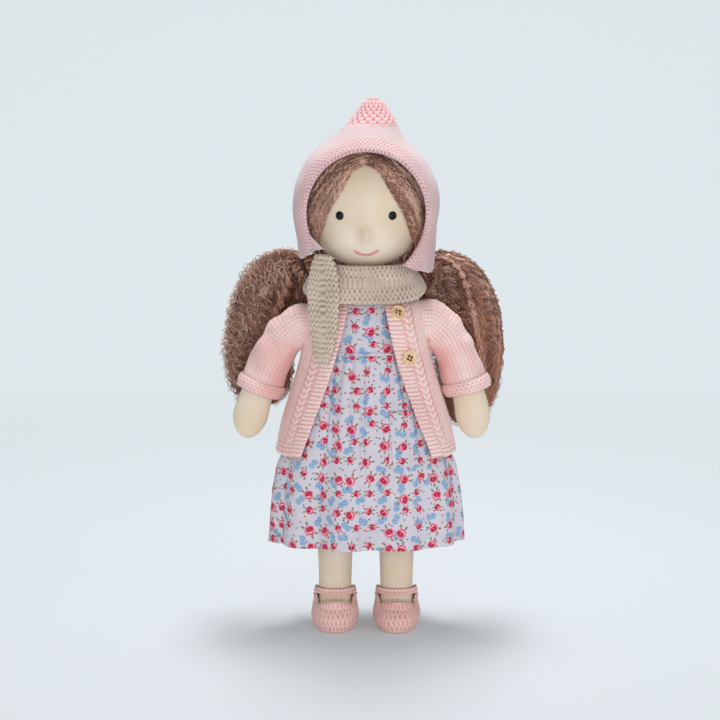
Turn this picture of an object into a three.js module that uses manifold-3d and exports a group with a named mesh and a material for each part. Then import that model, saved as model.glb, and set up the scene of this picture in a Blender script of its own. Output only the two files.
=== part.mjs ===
// A stuffed cloth doll, 357 mm tall, standing in its clothes: a floral dress, a knitted cardigan, a pointed
// knitted bonnet, a scarf and crocheted bar shoes. Its head, torso and limbs are closed skins stuffed with wool,
// and its curly hair is a wig that is gathered into two ponytails.
// Millimetres. +X is the doll's left, -Y its front and +Z up. The soles stand on Z 0, and the origin is under the
// middle of the doll, hair and clothes included.
import * as THREE from "three";
import { mergeVertices } from "three/addons/utils/BufferGeometryUtils.js";
import Module from "manifold-3d";

const wasm = await Module();
wasm.setup();

// Clearances
const GAP = 0.3; // between two pieces that touch
const HAIR_EASE = 0.8; // between the wig and the bonnet over it
const SLEEVE_EASE = 1.2; // between the arm's skin and the sleeve
const CARDIGAN_EASE = 1.6; // between the skirt and the cardigan over it, with room for the pocket
const HAIR_CLEAR = 1.3; // between the ponytails and the arms that swing in front of them
const HIP_EASE = 0.8; // between the torso and the thigh that turns under it

// How square the body's sections are: 2 for an ellipse, and more for squarer corners
const BODY_ROUND = 2.2;
const CARDIGAN_ROUND = 2.15;
const SCARF_ROUND = 2.5;

// Legs and feet
const LEG_SPACING = 42;
const HIP_HEIGHT = 128;
const THIGH_RADIUS = 13.5;
const KNEE_RADIUS = 12.4;
const ANKLE_RADIUS = 11;
const ANKLE_HEIGHT = 27;
const FOOT_LENGTH = 42;
const FOOT_WIDTH = 25.5;
const FOOT_HEIGHT = 19;
const HEEL_BACK = 13; // how far the foot reaches behind the leg's axis
const HIP_BACK_ROOM = 3; // room over the thigh's back, so that the leg can swing back

// Torso
const BELLY_WIDTH = 70;
const BELLY_DEPTH = 50;
const WAIST_HEIGHT = 190.5;
const WAIST_WIDTH = 66;
const WAIST_DEPTH = 46;
const SHOULDER_HEIGHT = 208;
const SHOULDER_WIDTH = 72; // across the flats where the arms are sewn on
const SHOULDER_TILT = 1.5; // the doll holds its left shoulder this much over its right
const CHEST_DEPTH = 43;
const SHOULDER_RISE = 14; // from the arm's axis to where the shoulder line starts to close in
const NECK_RADIUS = 12;
const NECK_HEIGHT = 240;

// Arms, as steps out and down from the shoulder
const ARM_RADIUS = 10.6;
const ARM_START = 43.6; // from the middle of the doll to the sleeve's flat top
const ARM_SPREAD = 2.6; // degrees that the right arm stands further out, and the left arm further in
const ELBOW_OUT = 19;
const ELBOW_DOWN = 24;
const WRIST_OUT = 29.3;
const WRIST_DOWN = 53;
const HAND_OUT = 34.7;
const HAND_DOWN = 78.5;
const PALM_RADIUS = 12;
const PALM_THICKNESS = 17;

// Head
const HEAD_WIDTH = 76;
const HEAD_DEPTH = 77;
const HEAD_TALL = 79;
const HEAD_RISE = 46; // from the neck's seam to the middle of the head
const EYE_SPACING = 34.2;
const EYE_RADIUS = 2.9;
const EYE_THICKNESS = 1.3;
const EYE_DROP = 2.5; // below the middle of the head
const EYE_LINE_DEPTH = 1.6; // how far the tied thread draws the eye line in
const NOSE_DROP = 16;
const NOSE_RISE = 3.4;
const JAW_FULLNESS = 0.1; // how much wider than an oval the lower half of the head is
const CHEEK_RISE = 1.2;
const CHEEK_SPACING = 34;
const CHEEK_DROP = 20;
const MOUTH_WIDTH = 16.5;
const MOUTH_DROP = 28.5;
const MOUTH_CURVE = 3.6;
const MOUTH_THREAD = 1.1;

// Hair
const HAIR_THICKNESS = 7;
const HAIR_BACK_SHIFT = 3; // the wig sits this far back, so it thins out at the forehead
const PARTING_RISE = 30; // the hairline's point above the middle of the head
const TEMPLE_WIDTH = 49;
const CHEEK_HAIR_WIDTH = 67;
const PONYTAIL_WIDTH = 44;
const PONYTAIL_DEPTH = 31;
const PONYTAIL_NECK = 6; // radius inside the tie
const PONYTAIL_REACH = 93.5; // from the middle of the doll to the outermost hair
const PONYTAIL_BACK = 27; // its middle, behind the arms
const LEFT_PONYTAIL_LENGTH = 113;
const RIGHT_PONYTAIL_LENGTH = 99;
const TIE_THREAD = 1.5;
const TIE_HEIGHT = 5; // of the tie over the neck's seam
const TIE_OUT = 40.5; // from the middle of the doll
const TIE_BACK = 21; // behind the legs' axis
const TIE_SHARE = 1 / 7; // of the ponytail's path, where the tie sits
const TIE_ROOM = 1.6; // all round the tie, at the bonnet's hem

// Bonnet
const BONNET_WALL = 3.2;
const BONNET_POINT = 71; // from the middle of the head to the tip
const BONNET_LEAN = 5; // the tip's lean to the doll's left
const OPENING_WIDTH = 81;
const OPENING_TOP = 40.2; // above the middle of the head
const OPENING_TALL = 84;
const BONNET_HEM = 32.5; // below the middle of the head, at the sides and back
const FLAP_DROP = 5; // how far the front corners hang below that

// Scarf
const SCARF_WIDTH = 27;
const SCARF_THICKNESS = 4.5;
const SCARF_ACROSS = 68; // between the middles of its wool, side to side
const SCARF_FRONT = 29;
const SCARF_BACK = 26;
const SCARF_DROP = 4.5; // its middle at the front, below the neck's seam
const SCARF_SIDE_RISE = 4; // its middle at the sides and back, above that
const TAIL_WIDTH = 24;
const TAIL_LENGTH = 73;
const TAIL_RISE = 18; // of its top over the neck's seam

// Dress
const DRESS_CLOTH = 1;
const HEM_HEIGHT = 60;
const HEM_WIDTH = 135;
const HEM_DEPTH = 84;
const SKIRT_FOLDS = 11;
const FOLD_DEPTH = 6; // at the hem
const POCKET_WIDTH = 27;
const POCKET_TALL = 38;
const POCKET_TOP = 153;
const POCKET_MIDDLE = 29;

// Underpants
const PANTS_DROP = 22.5; // of their top below the waist
const PANTS_CLOTH = 0.9;

// Cardigan
const KNIT = 2.5;
const CARDIGAN_HEM = 122;
const CARDIGAN_HEM_WIDTH = 121.5;
const CARDIGAN_CHEST_WIDTH = 85.4;
const CARDIGAN_CHEST_DEPTH = 59;
const FRONT_GAP_TOP = 25; // between the fronts at the neck
const FRONT_GAP_BOTTOM = 90; // between the fronts at the hem
const CUFF_RADIUS = 15;
const CUFF_LENGTH = 9;
const CUFF_ROLL = 1.2; // how far the rolled cuff stands out
const CUFF_SHARE = 0.685; // of the arm's length, where the cuff ends

// Buttons
const BUTTON_RADIUS = 5;
const BUTTON_THICKNESS = 2.4;
const BUTTON_RIM = 0.9;
const BUTTON_HOLE = 0.65;
const BUTTON_HOLE_SPACING = 2.6;
const UPPER_BUTTON_HEIGHT = 217.5;
const BUTTON_SPACING = 29.5; // from the upper button down to the lower one
const BUTTON_INSET = 6.5; // from the cardigan's front edge

// Shoes
const SOLE = 2.4;
const SHOE_WALL = 3;
const SHOE_TOP = 24; // at the heel
const SHOE_FRONT = 18.5; // the toe cap's edge
const STRAP_WIDTH = 5.6;
const STRAP_THICKNESS = 2;
const STRAP_RISE = 25.4;

// Places that several pieces share
const AXIS_FORWARD = 4; // the legs' axis stands this far in front of the middle, because the hair hangs behind
const HEAD_Z = NECK_HEIGHT + HEAD_RISE;
const LEG_X = LEG_SPACING / 2;
const TORSO_TOP = SHOULDER_HEIGHT + SHOULDER_RISE + 4;
const PANTS_TOP = WAIST_HEIGHT - PANTS_DROP;
const SIDES = { left: 1, right: -1 }; // the doll's own left and right

const clamp = THREE.MathUtils.clamp;
const smooth = THREE.MathUtils.smoothstep;
const bell = (distance, width) => Math.exp(-((distance / width) ** 2));
const at = (x, y, z) => new THREE.Vector3(x, y, z);

// A geometry with its faces turned outwards and its shared points merged.
function closed(points, index) {
  const corner = (i) => points[index[i]];
  let volume = 0;
  for (let i = 0; i < index.length; i += 3) {
    volume += corner(i).dot(corner(i + 1).clone().cross(corner(i + 2)));
  }
  if (volume < 0) index.reverse();
  return new THREE.BufferGeometry().setFromPoints(points).setIndex(index);
}

// A skin over rings of points. A looped skin joins its last ring to its first, and any other gets flat ends.
function skin(rings, looped = false) {
  const sides = rings[0].length;
  const points = rings.flat();
  const index = [];
  const joins = looped ? rings.length : rings.length - 1;
  for (let r = 0; r < joins; r++) {
    const here = r * sides;
    const next = ((r + 1) % rings.length) * sides;
    for (let s = 0; s < sides; s++) {
      const t = (s + 1) % sides;
      index.push(here + s, here + t, next + t, here + s, next + t, next + s);
    }
  }
  if (!looped) {
    const ends = [0, (rings.length - 1) * sides];
    ends.forEach((start, end) => {
      const middle = points.length;
      const ring = points.slice(start, start + sides);
      points.push(ring.reduce((sum, p) => sum.add(p), at(0, 0, 0)).divideScalar(sides));
      for (let s = 0; s < sides; s++) {
        const pair = [start + s, start + ((s + 1) % sides)];
        if (end === 0) pair.reverse();
        index.push(pair[0], pair[1], middle);
      }
    });
  }
  return closed(points, index);
}

function solid(geometry) {
  const bare = geometry.index ? geometry.clone() : geometry;
  bare.deleteAttribute("normal");
  bare.deleteAttribute("uv");
  const merged = mergeVertices(bare, 1e-4);
  return new wasm.Manifold(
    new wasm.Mesh({
      numProp: 3,
      vertProperties: merged.attributes.position.array,
      triVerts: new Uint32Array(merged.index.array),
    }),
  );
}

function geometryOf(made) {
  const mesh = made.getMesh();
  return new THREE.BufferGeometry()
    .setAttribute("position", new THREE.BufferAttribute(mesh.vertProperties, 3))
    .setIndex(new THREE.BufferAttribute(mesh.triVerts, 1));
}

function ball(halfX, halfY, halfZ, centre, sides = 24, rows = 16) {
  const geometry = new THREE.SphereGeometry(1, sides, rows).rotateX(Math.PI / 2);
  return solid(geometry.scale(halfX, halfY, halfZ).translate(centre.x, centre.y, centre.z));
}

function block(low, high) {
  const size = high.clone().sub(low);
  const middle = low.clone().add(high).multiplyScalar(0.5);
  return solid(new THREE.BoxGeometry(size.x, size.y, size.z).translate(middle.x, middle.y, middle.z));
}

const outline = (places) => new THREE.Shape(places.map(([across, up]) => new THREE.Vector2(across, up)));

// An outline in front view, of x and z, cut through from front to back between two depths.
function frontCutter(shape, front, back) {
  const depth = back - front;
  const geometry = new THREE.ExtrudeGeometry(shape, { depth, bevelEnabled: false, curveSegments: 14 });
  return solid(geometry.rotateX(Math.PI / 2).translate(0, back, 0));
}

// An outline in side view, of y and z, cut through from side to side for a width about x.
function sideCutter(shape, x, width) {
  const geometry = new THREE.ExtrudeGeometry(shape, { depth: width, bevelEnabled: false });
  return solid(geometry.rotateX(Math.PI / 2).rotateZ(Math.PI / 2).translate(x - width / 2, 0, 0));
}

// Key sections [height, half width, half depth] as a smooth function of height.
function sectionsThrough(keys) {
  const slope = (i, column) => {
    const before = keys[Math.max(i - 1, 0)];
    const after = keys[Math.min(i + 1, keys.length - 1)];
    return (after[column] - before[column]) / (after[0] - before[0]);
  };
  return (height) => {
    let i = 0;
    while (i < keys.length - 2 && height > keys[i + 1][0]) i++;
    const span = keys[i + 1][0] - keys[i][0];
    const t = clamp((height - keys[i][0]) / span, 0, 1);
    return [1, 2].map((column) => {
      const [start, end] = [keys[i][column], keys[i + 1][column]];
      const rise = slope(i, column) * (t ** 3 - 2 * t ** 2 + t) + slope(i + 1, column) * (t ** 3 - t ** 2);
      return start + (end - start) * smooth(t, 0, 1) + rise * span;
    });
  };
}

const steps = (from, to, count) => Array.from({ length: count + 1 }, (_, i) => from + ((to - from) * i) / count);

// An oval ring at one height. round is 2 for an ellipse, and more for squarer corners.
function oval(halfX, halfY, height, sides, round = 2, centre = at(0, 0, 0)) {
  return Array.from({ length: sides }, (_, s) => {
    const turn = (2 * Math.PI * s) / sides;
    const [c, n] = [Math.cos(turn), Math.sin(turn)];
    const power = 2 / round;
    return at(
      centre.x + halfX * Math.sign(c) * Math.abs(c) ** power,
      centre.y + halfY * Math.sign(n) * Math.abs(n) ** power,
      height,
    );
  });
}

// A closed form stacked from oval sections, grown outwards by the same amount all round.
function stack(sections, heights, sides, grow = 0, round = 2) {
  return solid(
    skin(
      heights.map((height) => {
        const [halfX, halfY] = sections(height);
        return oval(halfX + grow, halfY + grow, height, sides, round);
      }),
    ),
  );
}

// A stuffed limb along a path, with rings at the given shares of it: sizes are [share, half across, half thickness].
function limb(path, sizes, sides, shares, grow = 0) {
  const sizeAt = sectionsThrough(sizes);
  const rings = shares.map((share) => {
    const middle = path.getPoint(share);
    const along = path.getTangent(share);
    const across = at(0, 1, 0).cross(along).normalize();
    const through = along.clone().cross(across);
    const [halfAcross, halfThrough] = sizeAt(share);
    return Array.from({ length: sides }, (_, s) => {
      const turn = (2 * Math.PI * s) / sides;
      return middle
        .clone()
        .addScaledVector(across, (halfAcross + grow) * Math.cos(turn))
        .addScaledVector(through, (halfThrough + grow) * Math.sin(turn));
    });
  });
  return solid(skin(rings));
}

const pathThrough = (points) => new THREE.CatmullRomCurve3(points, false, "centripetal");

// Torso

const torsoSection = sectionsThrough([
  [HIP_HEIGHT - 2, BELLY_WIDTH / 2 - 11, BELLY_DEPTH / 2 - 11],
  [HIP_HEIGHT + 7, BELLY_WIDTH / 2 - 4, BELLY_DEPTH / 2 - 5],
  [HIP_HEIGHT + 24, BELLY_WIDTH / 2, BELLY_DEPTH / 2],
  [HIP_HEIGHT + 38, BELLY_WIDTH / 2, BELLY_DEPTH / 2],
  [WAIST_HEIGHT, WAIST_WIDTH / 2, WAIST_DEPTH / 2],
  [SHOULDER_HEIGHT - 3, SHOULDER_WIDTH / 2 - 0.5, CHEST_DEPTH / 2],
  [SHOULDER_HEIGHT + 6, SHOULDER_WIDTH / 2 + 1, CHEST_DEPTH / 2 - 1.5],
  [SHOULDER_HEIGHT + SHOULDER_RISE, SHOULDER_WIDTH / 2 - 4, CHEST_DEPTH / 2 - 4.5],
  [TORSO_TOP, NECK_RADIUS + 10, NECK_RADIUS + 1],
  [TORSO_TOP + 4, NECK_RADIUS + 0.8, NECK_RADIUS],
  [NECK_HEIGHT - GAP, NECK_RADIUS, NECK_RADIUS],
]);

// What the thigh sweeps as the leg swings from hanging to sitting, which the torso and the pants leave free.
function legRoom(side, ease) {
  const x = side * LEG_X;
  const reach = THIGH_RADIUS + ease;
  const hip = at(x, 0, HIP_HEIGHT);
  const inner = LEG_X - reach;
  const [lowX, highX] = side > 0 ? [inner, inner + 60] : [-inner - 60, -inner];
  const front = block(at(lowX, -60, HIP_HEIGHT - 60), at(highX, 0, HIP_HEIGHT + reach));
  const back = block(at(lowX, -1, HIP_HEIGHT - 60), at(highX, 60, HIP_HEIGHT + HIP_BACK_ROOM + ease));
  return ball(reach, reach, reach, hip, 14, 10).add(front).add(back);
}

const torsoHeights = [
  ...steps(HIP_HEIGHT - 2, WAIST_HEIGHT - 4, 5),
  WAIST_HEIGHT + GAP,
  ...steps(SHOULDER_HEIGHT - 8, TORSO_TOP, 5),
  TORSO_TOP + 4,
  NECK_HEIGHT - GAP,
];

function torso() {
  let made = stack(torsoSection, torsoHeights, 20, 0, BODY_ROUND);
  for (const side of Object.values(SIDES)) {
    const flat = side * (SHOULDER_WIDTH / 2);
    const beyond = side > 0 ? [flat, flat + 20] : [flat - 20, flat];
    const away = block(at(beyond[0], -40, WAIST_HEIGHT), at(beyond[1], 40, TORSO_TOP));
    made = made.subtract(away).subtract(legRoom(side, HIP_EASE));
  }
  return made;
}

// Legs, each with its foot

function leg(side) {
  const x = side * LEG_X;
  const path = pathThrough([HIP_HEIGHT, HIP_HEIGHT / 2, ANKLE_HEIGHT, SOLE + 6].map((height) => at(x, 0, height)));
  const ankleShare = (HIP_HEIGHT - ANKLE_HEIGHT) / (HIP_HEIGHT - SOLE - 6);
  const shin = limb(
    path,
    [
      [0, THIGH_RADIUS, THIGH_RADIUS],
      [0.25, THIGH_RADIUS - 0.2, THIGH_RADIUS - 0.2],
      [0.52, KNEE_RADIUS, KNEE_RADIUS],
      [ankleShare - 0.1, ANKLE_RADIUS, ANKLE_RADIUS],
      [ankleShare, ANKLE_RADIUS, ANKLE_RADIUS],
      [1, ANKLE_RADIUS + 0.3, ANKLE_RADIUS + 0.3],
    ],
    14,
    [0, 0.2, 0.4, 0.56, ankleShare - 0.08, ankleShare, 1],
  );
  const hip = ball(THIGH_RADIUS, THIGH_RADIUS, THIGH_RADIUS, at(x, 0, HIP_HEIGHT), 14, 8);
  const underfoot = block(at(x - 30, -60, -20), at(x + 30, 60, SOLE + GAP));
  return shin.add(hip).add(foot(side, 0)).subtract(underfoot);
}

function foot(side, grow) {
  const middle = at(side * LEG_X, HEEL_BACK - FOOT_LENGTH / 2, SOLE + GAP + FOOT_HEIGHT / 2 - 1);
  return ball(FOOT_WIDTH / 2 + grow, FOOT_LENGTH / 2 + grow, FOOT_HEIGHT / 2 + 1 + grow, middle, 14, 8);
}

// Shoes

// A shoe's section: [half width, half length, how far its middle is ahead of the leg's axis].
function shoeSection(height, shrink) {
  const halfX = FOOT_WIDTH / 2 + GAP + SHOE_WALL;
  const halfY = FOOT_LENGTH / 2 + GAP + SHOE_WALL;
  const collar = ANKLE_RADIUS + 1 + GAP + SHOE_WALL;
  const up = smooth(height, 8, SHOE_TOP);
  const under = 2.4 * (1 - smooth(height, 0, 4));
  return [
    THREE.MathUtils.lerp(halfX, collar, up) - under - shrink,
    THREE.MathUtils.lerp(halfY, collar, up ** 1.3) - under - shrink,
    THREE.MathUtils.lerp(FOOT_LENGTH / 2 - HEEL_BACK, 0, up ** 1.3),
  ];
}

function shoe(side) {
  const x = side * LEG_X;
  const form = (shrink, heights) =>
    solid(
      skin(
        heights.map((height) => {
          const [halfX, halfY, ahead] = shoeSection(height, shrink);
          return oval(halfX, halfY, height, 18, BODY_ROUND, at(x, -ahead, 0));
        }),
      ),
    );
  const rim = outline([
    [-60, SHOE_FRONT],
    [-14, SHOE_FRONT],
    [-5, SHOE_FRONT + 1.6],
    [5, STRAP_RISE - STRAP_WIDTH / 2 - 2 * GAP],
    [30, SHOE_TOP],
    [30, 60],
    [-60, 60],
  ]);
  const radius = ANKLE_RADIUS + 1 + GAP;
  const ankleRings = [SOLE, ANKLE_HEIGHT + 10].map((height) => oval(radius, radius, height, 14, 2, at(x, 0, 0)));
  const sole = block(at(x - 30, -60, -20), at(x + 30, 60, SOLE));
  const footRoom = foot(side, GAP).add(solid(skin(ankleRings))).subtract(sole);
  const outer = form(0, [0, 1.6, 4, 9, 13, 17, 20, SHOE_TOP + 1]);
  const inner = form(SHOE_WALL, [SOLE, 4, 9, 13, 17, 20, SHOE_TOP + 2]);
  return outer.subtract(inner).subtract(sideCutter(rim, x, 60)).subtract(footRoom);
}

// The bar strap lies over the instep, from one side of the shoe to the other.
function strap(side) {
  const x = side * LEG_X;
  const reach = ANKLE_RADIUS + GAP + STRAP_THICKNESS / 2;
  const turns = steps(-0.06 * Math.PI, 1.06 * Math.PI, 10);
  const rings = turns.map((turn) => {
    const lift = Math.max(0, Math.sin(turn));
    const out = at(Math.cos(turn), -Math.sin(turn), 0);
    const middle = at(x, 0, STRAP_RISE + 0.8 * lift).addScaledVector(out, reach + 0.8);
    const lean = at(0, 0, 1).addScaledVector(out, -0.2).normalize();
    const face = out.clone().addScaledVector(at(0, 0, 1), 0.2).normalize();
    const [t, w] = [STRAP_THICKNESS / 2, STRAP_WIDTH / 2];
    const corners = [[t, -w * 0.6], [t, w * 0.6], [t * 0.5, w], [-t, w * 0.8], [-t, -w * 0.8], [t * 0.5, -w]];
    return corners.map(([through, up]) => middle.clone().addScaledVector(face, through).addScaledVector(lean, up));
  });
  return solid(skin(rings));
}

// Arms and sleeves

const shoulderOf = (side) => SHOULDER_HEIGHT + side * SHOULDER_TILT;

function armPath(side) {
  const spread = THREE.MathUtils.degToRad(-side * ARM_SPREAD);
  const [c, n] = [Math.cos(spread), Math.sin(spread)];
  const point = (out, down) =>
    at(side * (ARM_START + out * c + down * n), 0, shoulderOf(side) - down * c + out * n);
  return pathThrough([
    point(0, 0),
    point(ELBOW_OUT * 0.53, ELBOW_DOWN * 0.34),
    point(ELBOW_OUT, ELBOW_DOWN),
    point(WRIST_OUT, WRIST_DOWN),
    point(HAND_OUT, HAND_DOWN),
  ]);
}

// Everything nearer the middle of the doll than the flat where an arm or sleeve starts.
function insideOf(side, distance) {
  const [low, high] = side > 0 ? [-10, distance] : [-distance, 10];
  return block(at(low, -60, 100), at(high, 60, 300));
}

function arm(side) {
  const made = limb(
    armPath(side),
    [
      [0, ARM_RADIUS, ARM_RADIUS],
      [0.3, ARM_RADIUS + 0.2, ARM_RADIUS + 0.2],
      [0.62, ARM_RADIUS - 0.6, ARM_RADIUS - 0.8],
      [0.8, PALM_RADIUS, PALM_THICKNESS / 2],
      [0.93, PALM_RADIUS * 0.82, PALM_THICKNESS * 0.4],
      [0.98, PALM_RADIUS * 0.52, PALM_THICKNESS * 0.26],
      [1, PALM_RADIUS * 0.2, PALM_THICKNESS * 0.1],
    ],
    12,
    [0, 0.12, 0.25, 0.38, 0.5, 0.62, 0.71, 0.8, 0.88, 0.94, 0.98, 1],
  );
  const flat = SHOULDER_WIDTH / 2 + GAP;
  const stub = new THREE.CylinderGeometry(ARM_RADIUS, ARM_RADIUS, ARM_START + 1 - flat, 16).rotateZ(Math.PI / 2);
  const stubMiddle = (side * (ARM_START + 1 + flat)) / 2;
  const shoulder = ball(ARM_RADIUS, ARM_RADIUS, ARM_RADIUS, at(side * ARM_START, 0, shoulderOf(side)), 12, 8);
  return made
    .add(shoulder)
    .subtract(insideOf(side, ARM_START))
    .add(solid(stub.translate(stubMiddle, 0, shoulderOf(side))));
}

// The sleeve's form without its cuff, or with a shrink its inside, down to a share of the arm's length.
function sleeveForm(side, shrink, reach) {
  const upper = ARM_RADIUS + SLEEVE_EASE + KNIT - shrink;
  const cuff = CUFF_RADIUS - shrink;
  const whole = armPath(side);
  const path = pathThrough(steps(0, reach, 8).map((share) => whole.getPoint(share)));
  const made = limb(
    path,
    [
      [0, upper + 0.8, upper + 0.4],
      [0.15, upper + 0.3, upper],
      [0.5, upper - 0.4, upper - 0.6],
      [0.75, (upper + cuff) / 2, (upper + cuff) / 2 - 0.8],
      [1, cuff, cuff - 1],
    ],
    14,
    [0, 0.12, 0.28, 0.45, 0.62, 0.8, 1],
  );
  return made.add(ball(upper + 0.4, upper + 0.4, upper + 0.4, at(side * ARM_START, 0, shoulderOf(side)), 14, 8));
}

function cuff(side, grow) {
  const whole = armPath(side);
  const start = CUFF_SHARE - CUFF_LENGTH / 100;
  const path = pathThrough(steps(start, CUFF_SHARE + 0.01, 3).map((share) => whole.getPoint(share)));
  const size = CUFF_RADIUS + CUFF_ROLL + grow;
  return limb(
    path,
    [
      [0, size - 1.8, size - 2.8],
      [0.35, size, size - 1],
      [0.75, size, size - 1],
      [1, size - 1.2, size - 2.2],
    ],
    14,
    [0, 0.35, 0.75, 1],
  );
}

function sleeve(side) {
  const outer = sleeveForm(side, 0, CUFF_SHARE).add(cuff(side, 0));
  const inner = sleeveForm(side, KNIT, CUFF_SHARE + 0.06);
  return outer.subtract(inner).subtract(insideOf(side, ARM_START));
}

// The room that the arm with its sleeve needs in front of the hair.
function armRoom(side) {
  const skinRoom = limb(
    armPath(side),
    [
      [0, ARM_RADIUS + HAIR_CLEAR, ARM_RADIUS + HAIR_CLEAR],
      [1, PALM_RADIUS + HAIR_CLEAR, PALM_THICKNESS / 2 + HAIR_CLEAR],
    ],
    10,
    steps(0, 1, 6),
  );
  return sleeveForm(side, -HAIR_CLEAR, CUFF_SHARE + 0.02).add(cuff(side, HAIR_CLEAR)).add(skinRoom);
}

// Head and face

// How far the face stands out from its plain oval, at a place across and above the middle of the head.
function relief(across, up) {
  const nose = NOSE_RISE * bell(across, 4.6) * bell(up + NOSE_DROP, 5.5);
  const cheeks = CHEEK_RISE * bell(Math.abs(across) - CHEEK_SPACING / 2, 10) * bell(up + CHEEK_DROP, 8);
  const eyeLine = EYE_LINE_DEPTH * bell(up + EYE_DROP, 6.5) * (1 - smooth(Math.abs(across), 20, 42));
  return nose + cheeks - eyeLine;
}

const fuller = (up) => 1 + JAW_FULLNESS * smooth(-up, 8, 30);

function headForm(grow) {
  const geometry = new THREE.SphereGeometry(1, 22, 18).rotateX(Math.PI / 2);
  const place = geometry.attributes.position;
  for (let i = 0; i < place.count; i++) {
    const z = place.getZ(i) * (HEAD_TALL / 2 + grow);
    const x = place.getX(i) * (HEAD_WIDTH / 2 + grow) * fuller(z);
    const facing = smooth(-place.getY(i), 0.15, 0.6);
    const y = place.getY(i) * (HEAD_DEPTH / 2 + grow) * fuller(z) - facing * relief(x, z);
    place.setXYZ(i, x, y, z + HEAD_Z);
  }
  return solid(geometry);
}

// The point of the face at a place across and above the middle of the head, and the way it faces.
function facePoint(across, up) {
  const full = fuller(up);
  const depth = Math.sqrt(1 - (across / (HEAD_WIDTH / 2) / full) ** 2 - (up / (HEAD_TALL / 2)) ** 2);
  const facing = smooth(depth, 0.15, 0.6);
  return at(across, -depth * (HEAD_DEPTH / 2) * full - facing * relief(across, up), HEAD_Z + up);
}

function faceNormal(across, up) {
  const step = 0.5;
  const right = facePoint(across + step, up).sub(facePoint(across - step, up));
  const rise = facePoint(across, up + step).sub(facePoint(across, up - step));
  return right.cross(rise).normalize();
}

function head() {
  const neck = solid(
    skin([NECK_HEIGHT, NECK_HEIGHT + 14].map((height) => oval(NECK_RADIUS, NECK_RADIUS, height, 16))),
  );
  return headForm(0).add(neck);
}

function seated(geometry, across, up, lift) {
  const normal = faceNormal(across, up);
  const turn = new THREE.Quaternion().setFromUnitVectors(at(0, 1, 0), normal);
  const place = facePoint(across, up).addScaledVector(normal, lift);
  return geometry.applyQuaternion(turn).translate(place.x, place.y, place.z);
}

const lathe = (profile, sides) =>
  new THREE.LatheGeometry(profile.map(([radius, rise]) => new THREE.Vector2(radius, rise)), sides);

function eye(side) {
  const [r, t] = [EYE_RADIUS, EYE_THICKNESS];
  const profile = [[0, 0], [r, 0], [r, t * 0.3], [r * 0.85, t * 0.7], [r * 0.5, t * 0.93], [0, t]];
  const bead = lathe(profile, 12);
  return solid(seated(bead, (side * EYE_SPACING) / 2, -EYE_DROP, GAP));
}

// The mouth is one stitched line that turns up at its ends.
function mouth() {
  const lift = GAP + MOUTH_THREAD / 2;
  const points = steps(-1, 1, 10).map((share) => {
    const across = (share * MOUTH_WIDTH) / 2;
    const up = -MOUTH_DROP + MOUTH_CURVE * share ** 2;
    return facePoint(across, up).addScaledVector(faceNormal(across, up), lift);
  });
  const thread = new THREE.Shape().absarc(0, 0, MOUTH_THREAD / 2, 0, 2 * Math.PI);
  const extrudePath = pathThrough(points);
  return solid(new THREE.ExtrudeGeometry(thread, { extrudePath, steps: 10, curveSegments: 3 }));
}

// Hair

const wigHalf = (measure) => measure / 2 + HAIR_THICKNESS;
const wigForm = (grow) =>
  ball(
    wigHalf(HEAD_WIDTH) + grow,
    wigHalf(HEAD_DEPTH) - HAIR_BACK_SHIFT + grow,
    wigHalf(HEAD_TALL) - 1 + grow,
    at(0, HAIR_BACK_SHIFT, HEAD_Z),
    22,
    14,
  );

// The hairline is a pointed arch over the face.
function wig() {
  const top = HEAD_Z + PARTING_RISE;
  const temple = TEMPLE_WIDTH / 2;
  const cheek = CHEEK_HAIR_WIDTH / 2;
  const half = [
    [0.4, top],
    [temple * 0.52, top - 10],
    [temple * 0.86, top - 23],
    [temple, top - 31],
    [cheek * 0.93, top - 42],
    [cheek, top - 52],
    [cheek + 3, top - 62],
    [cheek + 10, top - 90],
  ];
  const edge = new THREE.SplineCurve(half.map(([x, z]) => new THREE.Vector2(x, z))).getPoints(9);
  const shape = new THREE.Shape([...edge, ...edge.map(({ x, y }) => new THREE.Vector2(-x, y)).reverse()]);
  const under = block(at(-60, -60, HEAD_Z - 90), at(60, 60, HEAD_Z - BONNET_HEM - 1));
  return wigForm(0).subtract(headForm(GAP)).subtract(frontCutter(shape, -80, -6)).subtract(under);
}

function ponytailPath(side, length) {
  const point = (x, y, z) => at(side * x, y, z);
  const middle = PONYTAIL_REACH - PONYTAIL_WIDTH / 2;
  const top = NECK_HEIGHT + TIE_HEIGHT;
  return pathThrough([
    point(TIE_OUT - 15, TIE_BACK - 7, top + 8),
    point(TIE_OUT, TIE_BACK, top),
    point(TIE_OUT + 11, TIE_BACK + 3, top - 1),
    point(middle - 11, PONYTAIL_BACK - 1, top - 13),
    point(middle - 3, PONYTAIL_BACK, top - 32),
    point(middle, PONYTAIL_BACK, top - 56),
    point(middle, PONYTAIL_BACK, top - length * 0.8),
    point(middle - 2, PONYTAIL_BACK, top - length),
  ]);
}

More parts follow.
